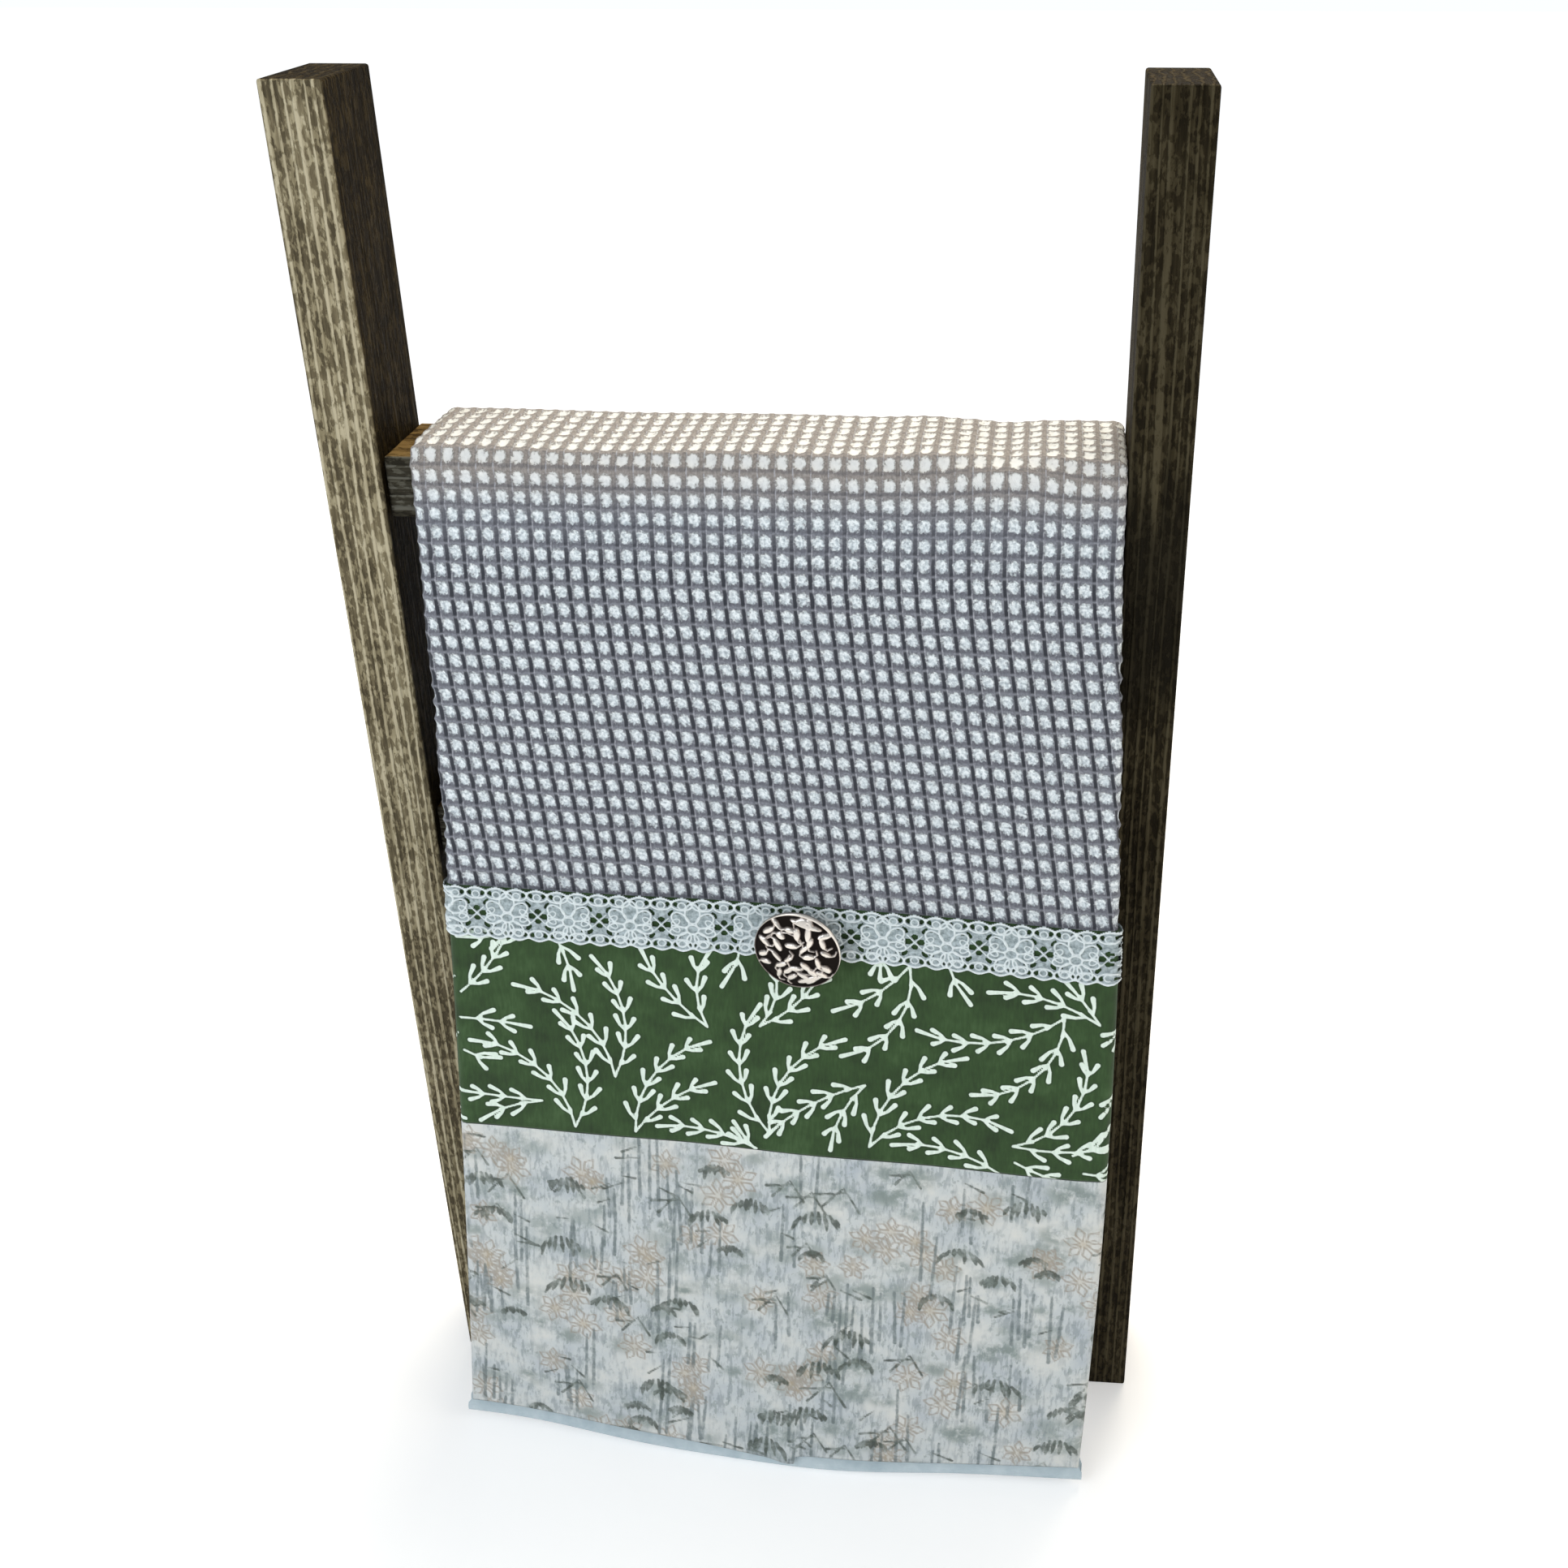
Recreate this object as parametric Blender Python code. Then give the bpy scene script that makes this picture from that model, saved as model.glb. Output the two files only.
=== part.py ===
"""A small stained-wood ladder rack with a decorated waffle towel folded over its top rung.

Metres, +Z up. X runs along the rungs and -Y is the front. The origin is the middle of the overall box
at floor level. Shapes are worked out in the rack's own coordinates, whose Y starts at the rails' front
faces, and the empty named "rack" then puts them round the origin.
"""

import math

import bmesh
import bpy
from mathutils import Matrix, Vector

# The rack: two upright rails, with flat rungs screwed between them.
RACK_WIDTH = 0.270
RAIL_HEIGHT = 0.496
RAIL_THICKNESS = 0.019
RAIL_DEPTH = 0.038
RUNG_HEIGHT = 0.020
RUNG_RECESS = 0.003
RUNG_NAMES = ("bottom", "middle", "top")
BOTTOM_RUNG_Z = 0.110
RUNG_PITCH = 0.127
EDGE_BREAK = 0.0008
FIT_GAP = 0.0003

# Countersunk screws, two in each end of each rung.
SCREW_LENGTH = 0.040
SCREW_RADIUS = 0.0020
SCREW_HEAD_RADIUS = 0.0040
SCREW_HEAD_DEPTH = 0.0024
SCREW_TIP = 0.005
SCREW_SINK = 0.0004
SCREW_SPACING = 0.016
SCREW_SIDES = 16
CROSS_WIDTH = 0.0010
CROSS_LENGTH = 0.0044
CROSS_DEPTH = 0.0016

# The towel: its two sides are folded to the middle of its back, and it hangs over the top rung.
CLOTH_WIDTH = 0.457
CLOTH_THICKNESS = 0.0050
CLOTH_GAP = 0.0004
LEFT_GAP = 0.010
RIGHT_GAP = 0.0004
FOLD_RADIUS = 0.002
FOLD_STEPS = 4
BACK_DROP = 0.280
HEM_HEIGHT = 0.0075
WING_HEIGHT = 0.0010
HEM_REACH = 0.0445
HEM_TWIST = 0.0063
LEFT_SPREAD = 0.0147
RIGHT_BULGE = 0.0050
BULGE_START = 0.075
WING_GAP = 0.002
FLAP_STEPS = 12

# The strips that are sewn round the lower part of the towel, measured up from its hem.
BORDER_HEIGHT = 0.132
BAND_HEIGHT = 0.098
LACE_HEIGHT = 0.0205
LACE_OVERLAP = 0.020
PRINT_THICKNESS = 0.0006
LACE_THICKNESS = 0.0006
LINING_THICKNESS = 0.0012
LINING_HEIGHT = 0.034
CORNER_RADIUS = 0.0006
CORNER_STEPS = 3
WRAP_STEPS = 5

# The button stands off the lace on its shank.
BUTTON_RADIUS = 0.01475
BUTTON_RIM = 0.0016
BUTTON_DOME = 0.0042
BUTTON_SIDES = 40
BUTTON_STANDOFF = 0.0055
BUTTON_X = 0.0085
BUTTON_DROP = 0.0125
SHANK_WIDTH = 0.0050
SHANK_THICKNESS = 0.0012
SHANK_LENGTH = 0.0034
SHANK_HOLE_RADIUS = 0.0009
SHANK_HOLE_DEPTH = 0.0022
THREAD_RADIUS = 0.0003
THREAD_LOOP = 0.0013

RUNG_LENGTH = RACK_WIDTH - 2 * RAIL_THICKNESS - 2 * FIT_GAP
RUNG_DEPTH = RAIL_DEPTH - RUNG_RECESS
TOP_RUNG_TOP = BOTTOM_RUNG_Z + (len(RUNG_NAMES) - 1) * RUNG_PITCH + RUNG_HEIGHT
RAIL_INNER_X = RACK_WIDTH / 2 - RAIL_THICKNESS
HALF_CLOTH = CLOTH_THICKNESS / 2
FLAP_TOP_Y = RUNG_RECESS - CLOTH_GAP - HALF_CLOTH
FLAP_TOP_Z = TOP_RUNG_TOP + CLOTH_GAP - FOLD_RADIUS
BACK_Y = RAIL_DEPTH + CLOTH_GAP + HALF_CLOTH

STAINED_WOOD = ("stained_wood", (0.10, 0.075, 0.045), 0.75, 0.0)
STEEL = ("zinc_steel", (0.55, 0.55, 0.57), 0.40, 1.0)
WAFFLE = ("waffle_cotton", (0.78, 0.80, 0.82), 0.95, 0.0)
LINING = ("lining_cotton", (0.60, 0.70, 0.76), 0.90, 0.0)
GREEN_PRINT = ("green_print", (0.08, 0.17, 0.06), 0.90, 0.0)
BAMBOO_PRINT = ("bamboo_print", (0.56, 0.62, 0.62), 0.90, 0.0)
LACE = ("lace_cotton", (0.80, 0.86, 0.87), 0.90, 0.0)
PEWTER = ("antique_pewter", (0.42, 0.39, 0.36), 0.35, 1.0)
THREAD = ("sewing_thread", (0.85, 0.85, 0.82), 0.80, 0.0)


def clear_scene():
    for obj in list(bpy.data.objects):
        bpy.data.objects.remove(obj, do_unlink=True)


def material(finish):
    name, colour, roughness, metallic = finish
    found = bpy.data.materials.get(name)
    if found:
        return found
    made = bpy.data.materials.new(name)
    made.use_nodes = True
    shader = made.node_tree.nodes["Principled BSDF"]
    shader.inputs["Base Color"].default_value = (*colour, 1.0)
    shader.inputs["Roughness"].default_value = roughness
    shader.inputs["Metallic"].default_value = metallic
    return made


def empty(name, location, parent=None):
    made = bpy.data.objects.new(name, None)
    made.location = location
    made.parent = parent
    bpy.context.collection.objects.link(made)
    return made


def mesh_object(name, shape, finish, parent, smooth=False):
    """Turns a bmesh into a named object with its faces pointing out."""
    bmesh.ops.recalc_face_normals(shape, faces=shape.faces)
    mesh = bpy.data.meshes.new(name)
    shape.to_mesh(mesh)
    shape.free()
    if smooth:
        mesh.shade_smooth()
        mesh.set_sharp_from_angle(angle=math.radians(35))
    made = bpy.data.objects.new(name, mesh)
    made.parent = parent
    bpy.context.collection.objects.link(made)
    if finish:
        made.data.materials.append(material(finish))
    return made


def add_box(shape, low, high):
    low, high = Vector(low), Vector(high)
    place = Matrix.Translation((low + high) / 2) @ Matrix.Diagonal((*(high - low), 1))
    bmesh.ops.create_cube(shape, size=1, matrix=place)


def add_turned(shape, profile, sides, place):
    """A closed solid turned about local Z from (radius, height) points that start and end on the axis."""
    rings = []
    for radius, height in profile:
        if radius == 0:
            rings.append([shape.verts.new(place @ Vector((0, 0, height)))])
            continue
        turns = [2 * math.pi * side / sides for side in range(sides)]
        ring = [Vector((radius * math.cos(turn), radius * math.sin(turn), height)) for turn in turns]
        rings.append([shape.verts.new(place @ point) for point in ring])
    for upper, lower in zip(rings, rings[1:]):
        for side in range(sides):
            after = (side + 1) % sides
            corners = [upper[side % len(upper)], upper[after % len(upper)]]
            corners += [lower[after % len(lower)], lower[side % len(lower)]]
            shape.faces.new(list(dict.fromkeys(corners)))


def cut(target, cutter, operation="DIFFERENCE"):
    cutter.hide_render = True
    cutter.display_type = "WIRE"
    modifier = target.modifiers.new(cutter.name, "BOOLEAN")
    modifier.operation = operation
    modifier.object = cutter


def break_edges(target):
    modifier = target.modifiers.new("edge_break", "BEVEL")
    modifier.width = EDGE_BREAK
    modifier.segments = 2
    modifier.limit_method = "ANGLE"


# ---- the rack -------------------------------------------------------------------------------------


def rung_bottom(index):
    return BOTTOM_RUNG_Z + index * RUNG_PITCH


def screw_profile(grow):
    """(radius, depth below the head's top) points of a screw, or of its hole where grow is its gap."""
    top = -SCREW_SINK - grow if grow else 0
    return (
        (0, top),
        (SCREW_HEAD_RADIUS + grow, top),
        (SCREW_HEAD_RADIUS + grow, FIT_GAP),
        (SCREW_RADIUS + grow, SCREW_HEAD_DEPTH + grow),
        (SCREW_RADIUS + grow, SCREW_LENGTH - SCREW_TIP + grow),
        (0, SCREW_LENGTH + 2 * grow),
    )


def screw_places():
    """(name, place) of each screw: local +Z runs from the head's top into the rung."""
    middle_y = RUNG_RECESS + RUNG_DEPTH / 2
    for side, side_name in ((-1, "left"), (1, "right")):
        for index, rung_name in enumerate(RUNG_NAMES):
            for row, row_name in ((-1, "front"), (1, "back")):
                x = side * (RACK_WIDTH / 2 - SCREW_SINK)
                y = middle_y + row * SCREW_SPACING / 2
                z = rung_bottom(index) + RUNG_HEIGHT / 2
                turned = Matrix.Rotation(-side * math.pi / 2, 4, "Y")
                name = f"screw_{side_name}_{rung_name}_{row_name}"
                yield name, Matrix.Translation((x, y, z)) @ turned


def make_screw_holes(name, rack):
    shape = bmesh.new()
    for _, place in screw_places():
        add_turned(shape, screw_profile(FIT_GAP), SCREW_SIDES, place)
    return mesh_object(name, shape, None, rack)


def make_rails(rack, holes):
    for side, name in ((-1, "rail_left"), (1, "rail_right")):
        shape = bmesh.new()
        half = RAIL_THICKNESS / 2
        add_box(shape, (-half, 0, 0), (half, RAIL_DEPTH, RAIL_HEIGHT))
        rail = mesh_object(name, shape, STAINED_WOOD, rack)
        rail.location.x = side * (RACK_WIDTH / 2 - half)
        break_edges(rail)
        cut(rail, holes)


def make_rungs(rack, holes):
    for index, rung_name in enumerate(RUNG_NAMES):
        shape = bmesh.new()
        half = RUNG_LENGTH / 2
        add_box(shape, (-half, RUNG_RECESS, 0), (half, RAIL_DEPTH, RUNG_HEIGHT))
        rung = mesh_object(f"rung_{rung_name}", shape, STAINED_WOOD, rack)
        rung.location.z = rung_bottom(index)
        break_edges(rung)
        cut(rung, holes)


def cross_shape():
    """The plus-shaped recess in a screw's head, from above the head down to its depth."""
    long, wide = CROSS_LENGTH / 2, CROSS_WIDTH / 2
    arm = ((long, -wide), (long, wide), (wide, wide))
    outline = [(x * c - y * s, x * s + y * c) for c, s in ((1, 0), (0, 1), (-1, 0), (0, -1)) for x, y in arm]
    shape = bmesh.new()
    low, high = ([shape.verts.new((x, y, z)) for x, y in outline] for z in (-CROSS_DEPTH, CROSS_DEPTH))
    shape.faces.new(low)
    shape.faces.new(high)
    for corner, (x, y) in enumerate(zip(low, high)):
        after = (corner + 1) % len(low)
        shape.faces.new((x, low[after], high[after], y))
    return shape


def make_screws(rack):
    """Every screw shares one mesh, which has a cross cut into its head."""
    shape = bmesh.new()
    add_turned(shape, screw_profile(0), SCREW_SIDES, Matrix.Identity(4))
    pattern = mesh_object("screw_pattern", shape, STEEL, None, smooth=True)
    cut(pattern, mesh_object("cross_recess", cross_shape(), None, None))
    graph = bpy.context.evaluated_depsgraph_get()
    mesh = bpy.data.meshes.new_from_object(pattern.evaluated_get(graph))
    bpy.data.objects.remove(pattern, do_unlink=True)
    for name, place in screw_places():
        screw = bpy.data.objects.new(name, mesh)
        screw.parent = rack
        screw.matrix_local = place
        bpy.context.collection.objects.link(screw)


# ---- the towel ------------------------------------------------------------------------------------


def edges_at(t):
    """X of the folded towel's left and right edges, where t is 0 at the rung and 1 at the front hem."""
    left, right = LEFT_GAP - RAIL_INNER_X, RAIL_INNER_X - RIGHT_GAP
    t = max(t, 0)
    below = max(t - BULGE_START, 0) / (1 - BULGE_START)
    return left - LEFT_SPREAD * t * t, right + 4 * RIGHT_BULGE * below * max(1 - below, 0)


def flap_frame(x, t):
    """The front flap's middle point (y, z) and its unit vector towards the back, at X and t."""
    left, right = edges_at(t)
    across = (2 * x - left - right) / (right - left)
    top = Vector((FLAP_TOP_Y, FLAP_TOP_Z))
    run = Vector((-HEM_REACH - HEM_TWIST * across, HEM_HEIGHT)) - top
    return top + run * t, Vector((-run.y, run.x)).normalized()


def flap_point(x, t, depth):
    """A point of the front flap, depth behind its middle surface."""
    middle, back = flap_frame(x, t)
    return Vector((x, *(middle + back * depth)))


def t_at(height):
    return (FLAP_TOP_Z - height) / (FLAP_TOP_Z - HEM_HEIGHT)


def thick_sheet(name, front, back, finish, parent):
    """A closed sheet between two grids of points of the same size, each a list of rows."""
    shape = bmesh.new()
    sides = [[[shape.verts.new(point) for point in row] for row in grid] for grid in (front, back)]
    for grid in sides:
        for row, after in zip(grid, grid[1:]):
            for corner in range(len(row) - 1):
                shape.faces.new((row[corner], row[corner + 1], after[corner + 1], after[corner]))
    for pick in (lambda g: g[0], lambda g: g[-1], lambda g: [r[0] for r in g], lambda g: [r[-1] for r in g]):
        one, other = pick(sides[0]), pick(sides[1])
        for corner in range(len(one) - 1):
            shape.faces.new((one[corner], one[corner + 1], other[corner + 1], other[corner]))
    return mesh_object(name, shape, finish, parent, smooth=True)


def drape_stations():
    """(y, z, outward y, outward z) down the towel's middle surface, from its back hem to the front fold."""
    radius = FOLD_RADIUS + HALF_CLOTH
    back_hem = TOP_RUNG_TOP - BACK_DROP
    back_top = TOP_RUNG_TOP + CLOTH_GAP - FOLD_RADIUS
    stations = [(BACK_Y, back_hem, 1, 0), (BACK_Y, (back_hem + back_top) / 2, 1, 0)]
    for centre_y, first in ((BACK_Y - radius, 0), (FLAP_TOP_Y + radius, math.pi / 2)):
        for step in range(FOLD_STEPS + 1):
            turn = first + math.pi / 2 * step / FOLD_STEPS
            out_y, out_z = math.cos(turn), math.sin(turn)
            stations.append((centre_y + radius * out_y, back_top + radius * out_z, out_y, out_z))
    return stations[:-1]


def make_waffle_towel(towel):
    wings_t = t_at(WING_HEIGHT)
    outer, inner = [], []
    for across in (0, 0.25, 0.5, 0.75, 1):
        left, right = edges_at(0)
        x = left + (right - left) * across
        outer_row, inner_row = [], []
        for y, z, out_y, out_z in drape_stations():
            outer_row.append((x, y + HALF_CLOTH * out_y, z + HALF_CLOTH * out_z))
            inner_row.append((x, y - HALF_CLOTH * out_y, z - HALF_CLOTH * out_z))
        for step in range(FLAP_STEPS + 1):
            for row, depth, last in ((outer_row, -HALF_CLOTH, 1), (inner_row, HALF_CLOTH, wings_t)):
                t = last * step / FLAP_STEPS
                left, right = edges_at(t)
                row.append(flap_point(left + (right - left) * across, t, depth))
        outer.append(outer_row)
        inner.append(inner_row)
    made = thick_sheet("waffle_towel", outer, inner, WAFFLE, towel)
    slot = lining_sheet("lining_slot", FIT_GAP, None, towel)
    cut(made, slot)


def lining_sheet(name, grow, finish, parent):
    """The lining strip, which lies between the front layer and the wings and shows below the hem."""
    top = t_at(HEM_HEIGHT + LINING_HEIGHT + grow)
    bottom = t_at(WING_HEIGHT) if not grow else t_at(WING_HEIGHT - LINING_HEIGHT)
    front, back = [], []
    for step in range(4):
        t = top + (bottom - top) * step / 3
        left, right = edges_at(t)
        reach = (grow - FIT_GAP / 2) if not grow else LINING_HEIGHT
        xs = [left - reach + (right - left + 2 * reach) * share for share in (0, 0.5, 1)]
        half = LINING_THICKNESS / 2 + grow
        front.append([flap_point(x, t, -half) for x in xs])
        back.append([flap_point(x, t, half) for x in xs])
    return thick_sheet(name, front, back, finish, parent)


def wrap_path(t, offset):
    """(x, depth) points round the folded flap, offset outside it, from one wing's edge to the other's."""
    left, right = edges_at(t)
    half_gap = max(WING_GAP, (right - left) - CLOTH_WIDTH / 2) / 2
    middle = (left + right) / 2
    depth = HALF_CLOTH + offset
    radius = CORNER_RADIUS + offset - FIT_GAP
    path = [(middle - half_gap, depth), ((left + middle) / 2, depth)]
    corners = ((left - offset + radius, depth - radius, 90), (left - offset + radius, radius - depth, 180))
    corners += ((right + offset - radius, radius - depth, 270), (right + offset - radius, depth - radius, 360))
    for number, (x, centre_depth, first) in enumerate(corners):
        for step in range(CORNER_STEPS + 1):
            turn = math.radians(first + 90 * step / CORNER_STEPS)
            path.append((x + radius * math.cos(turn), centre_depth + radius * math.sin(turn)))
        if number == 1:
            path.append((middle, -depth))
    path += [((right + middle) / 2, depth), (middle + half_gap, depth)]
    return path


def wrap(name, top_height, low_front, low_back, offset, thickness, finish, towel):
    """A strip of cloth sewn round the flap, between two heights. Its back may hang lower than its front."""
    top = t_at(top_height)
    inner, outer = [], []
    for grid, out in ((inner, offset), (outer, offset + thickness)):
        depths = [depth for _, depth in wrap_path(top, out)]
        for step in range(WRAP_STEPS + 1):
            row = []
            for corner, depth in enumerate(depths):
                behind = min(max(depth / CLOTH_THICKNESS + 0.5, 0), 1)
                low = t_at(low_front + (low_back - low_front) * behind)
                t = top + (low - top) * step / WRAP_STEPS
                row.append(flap_point(wrap_path(t, out)[corner][0], t, depth))
            grid.append(row)
    return thick_sheet(name, outer, inner, finish, towel)


def make_strips(towel):
    border_top = HEM_HEIGHT + BORDER_HEIGHT
    band_top = border_top + BAND_HEIGHT
    lace_bottom = band_top - LACE_OVERLAP
    lace_offset = FIT_GAP + PRINT_THICKNESS + FIT_GAP
    wrap("bamboo_border", border_top - FIT_GAP, HEM_HEIGHT, WING_HEIGHT, FIT_GAP, PRINT_THICKNESS,
         BAMBOO_PRINT, towel)
    wrap("green_band", band_top, border_top, border_top, FIT_GAP, PRINT_THICKNESS, GREEN_PRINT, towel)
    wrap("lace_trim", lace_bottom + LACE_HEIGHT, lace_bottom, lace_bottom, lace_offset, LACE_THICKNESS,
         LACE, towel)
    lining_sheet("hem_lining", 0, LINING, towel)


# ---- the button -----------------------------------------------------------------------------------


def button_place():
    """The button's place: its origin is on its turning axis at its back face, and local +Z faces out."""
    height = HEM_HEIGHT + BORDER_HEIGHT + BAND_HEIGHT - LACE_OVERLAP + LACE_HEIGHT - BUTTON_DROP
    t = t_at(height)
    x = sum(edges_at(t)) / 2 + BUTTON_X
    stand = HALF_CLOTH + 2 * FIT_GAP + PRINT_THICKNESS + LACE_THICKNESS + BUTTON_STANDOFF
    _, back = flap_frame(x, t)
    out = Vector((0, -back.x, -back.y))
    side = Vector((1, 0, 0))
    turned = Matrix((side, out.cross(side), out)).transposed().to_4x4()
    return Matrix.Translation(flap_point(x, t, -stand)) @ turned


def make_button(towel):
    axis = empty("button_axis", (0, 0, 0), towel)
    axis.matrix_local = button_place()
    shape = bmesh.new()
    crown = [(BUTTON_RADIUS * math.sin(turn), BUTTON_RIM + BUTTON_DOME * (math.cos(turn) - math.cos(1.2)))
             for turn in (0, 0.2, 0.4, 0.6, 0.8, 1.0, 1.2)]
    scale = BUTTON_RADIUS / crown[-1][0]
    crown = [(radius * scale, height) for radius, height in crown]
    profile = crown + [(BUTTON_RADIUS, BUTTON_RIM * 0.4), (BUTTON_RADIUS * 0.95, 0), (0, 0)]
    add_turned(shape, profile, BUTTON_SIDES, Matrix.Identity(4))
    button = mesh_object("button", shape, PEWTER, axis, smooth=True)

    shape = bmesh.new()
    add_box(shape, (-SHANK_WIDTH / 2, -SHANK_THICKNESS / 2, -SHANK_LENGTH),
            (SHANK_WIDTH / 2, SHANK_THICKNESS / 2, BUTTON_RIM / 2))
    cut(button, mesh_object("shank", shape, None, axis), "UNION")

    shape = bmesh.new()
    across = Matrix.Translation((0, 0, -SHANK_HOLE_DEPTH)) @ Matrix.Rotation(math.pi / 2, 4, "X")
    reach = SHANK_THICKNESS
    hole = ((0, -reach), (SHANK_HOLE_RADIUS, -reach), (SHANK_HOLE_RADIUS, reach), (0, reach))
    add_turned(shape, hole, SCREW_SIDES, across)
    cut(button, mesh_object("shank_hole", shape, None, axis))


def make_button_thread(towel):
    """The loop of thread that runs through the shank's hole and down to the cloth."""
    axis = bpy.data.objects["button_axis"]
    shape = bmesh.new()
    sides, turns = 8, 20
    rings = []
    for turn in range(turns):
        angle = 2 * math.pi * turn / turns
        out = Vector((0, math.cos(angle), math.sin(angle)))
        centre = Vector((0, 0, -SHANK_HOLE_DEPTH - THREAD_LOOP)) + out * THREAD_LOOP
        angles = [2 * math.pi * side / sides for side in range(sides)]
        ring = [out * math.cos(a) + Vector((1, 0, 0)) * math.sin(a) for a in angles]
        rings.append([shape.verts.new(centre + point * THREAD_RADIUS) for point in ring])
    for ring, after in zip(rings, rings[1:] + rings[:1]):
        for side in range(sides):
            nxt = (side + 1) % sides
            shape.faces.new((ring[side], ring[nxt], after[nxt], after[side]))
    mesh_object("button_thread", shape, THREAD, axis, smooth=True)


def middle_of_box():
    """How far back the origin lies from the rails' front faces."""
    left, right = edges_at(1)
    outside = HALF_CLOTH + FIT_GAP + PRINT_THICKNESS
    front = min(flap_point(x, 1, -outside).y for x in (left, right))
    return (front + BACK_Y + HALF_CLOTH) / 2


def main():
    clear_scene()
    rack = empty("rack", (0, -middle_of_box(), 0))
    towel = empty("towel", (0, 0, 0), rack)
    holes = make_screw_holes("screw_holes", rack)
    make_rails(rack, holes)
    make_rungs(rack, holes)
    make_screws(rack)
    make_waffle_towel(towel)
    make_strips(towel)
    make_button(towel)
    make_button_thread(towel)


main()
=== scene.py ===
"""Looks for a stained-wood ladder rack with a decorated waffle towel over its top rung.

Metres, +Z up, in the CAD's own frame. The rails, rungs and screws are the CAD's solids with better
materials. The towel, its strips, the lace and the button are built here, in the space of their CAD solids.
Cloth is worked out on flat grids. "s" runs along the towel: 0 at the front fold over the rung, positive
down the front flap and negative back over the rung and down the back.
"""

import math

import bpy
import numpy as np
from mathutils import Matrix, Vector


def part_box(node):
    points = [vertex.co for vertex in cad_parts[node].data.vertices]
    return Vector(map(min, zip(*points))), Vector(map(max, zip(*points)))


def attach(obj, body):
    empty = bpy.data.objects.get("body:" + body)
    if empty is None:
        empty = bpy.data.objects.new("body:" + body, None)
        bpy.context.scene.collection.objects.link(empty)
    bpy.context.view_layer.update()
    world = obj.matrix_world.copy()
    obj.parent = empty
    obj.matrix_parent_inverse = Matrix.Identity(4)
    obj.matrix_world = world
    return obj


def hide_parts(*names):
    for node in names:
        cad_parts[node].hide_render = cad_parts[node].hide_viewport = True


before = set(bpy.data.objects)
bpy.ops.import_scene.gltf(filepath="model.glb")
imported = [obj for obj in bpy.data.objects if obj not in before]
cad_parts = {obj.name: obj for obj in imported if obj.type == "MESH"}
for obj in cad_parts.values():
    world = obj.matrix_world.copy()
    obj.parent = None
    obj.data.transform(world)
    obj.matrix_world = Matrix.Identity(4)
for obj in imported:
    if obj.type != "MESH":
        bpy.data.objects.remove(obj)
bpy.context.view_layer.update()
random = np.random.default_rng(20)

# Sizes of the CAD model, which the new pieces follow, and the flap's own bends.
MM = 0.001
RAIL_DEPTH = 0.038
RUNG_RECESS = 0.003
RAIL_INNER_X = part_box("rail_right")[0].x
RACK_FRONT_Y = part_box("rail_left")[0].y
TOP_RUNG_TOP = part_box("rung_top")[1].z
HALF_CLOTH = 0.0025
CLOTH_WIDTH = 0.457
CLOTH_GAP = 0.0004
HALF_FRONT = 0.1135
WING_REACH = 0.106
LEFT_GAP = 0.010
RIGHT_GAP = 0.0004
FOLD_RADIUS = 0.002
BACK_DROP = 0.280
HEM_HEIGHT = 0.0075
WING_HEIGHT = 0.0010
HEM_REACH = 0.0445
HEM_TWIST = 0.0063
LEFT_SPREAD = 0.0147
RIGHT_BULGE = 0.0050
BULGE_START = 0.075
WING_GAP = 0.002
BORDER_TOP = 0.1395
BAND_TOP = 0.2375
LACE_BOTTOM = 0.2175
LACE_TOP = 0.2380
BUTTON_HEIGHT = 0.2255
BUTTON_X = 0.0085
BUTTON_RADIUS = 0.01475
BUTTON_STAND = 0.0098
BUTTON_LEAN = 9
HEM_NOTCH_X = 0.011
HEM_SWAY = 0.0034
LACE_SHARE = 0.387
SEAM_SHARE = 0.648

FLAP_TOP_Y = RUNG_RECESS - CLOTH_GAP - HALF_CLOTH
FLAP_TOP_Z = TOP_RUNG_TOP + CLOTH_GAP - FOLD_RADIUS
BACK_Y = RAIL_DEPTH + CLOTH_GAP + HALF_CLOTH
FLAP_RUN = (-HEM_REACH - FLAP_TOP_Y, HEM_HEIGHT - FLAP_TOP_Z)
FLAP_LENGTH = math.hypot(*FLAP_RUN)
FLAP_TILT = math.atan2(-FLAP_RUN[0], -FLAP_RUN[1])

# The weave.
CELL_ACROSS = 0.00575
CELL_DOWN = 0.0061
RIDGE_HEIGHT = 0.0011
SKEW = 0.13
SKEW_START = 0.030
BACK_HEM = 0.013
FINE_WEAVE_START = -0.052


# ---- the towel's surface ----


def edges_at(t):
    """X of the folded towel's left and right edges, where t is 0 at the rung and 1 at the front hem."""
    t = np.maximum(t, 0)
    below = np.maximum(t - BULGE_START, 0) / (1 - BULGE_START)
    left = LEFT_GAP - RAIL_INNER_X - LEFT_SPREAD * t * t
    return left, RAIL_INNER_X - RIGHT_GAP + 4 * RIGHT_BULGE * below * np.maximum(1 - below, 0)


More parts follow.
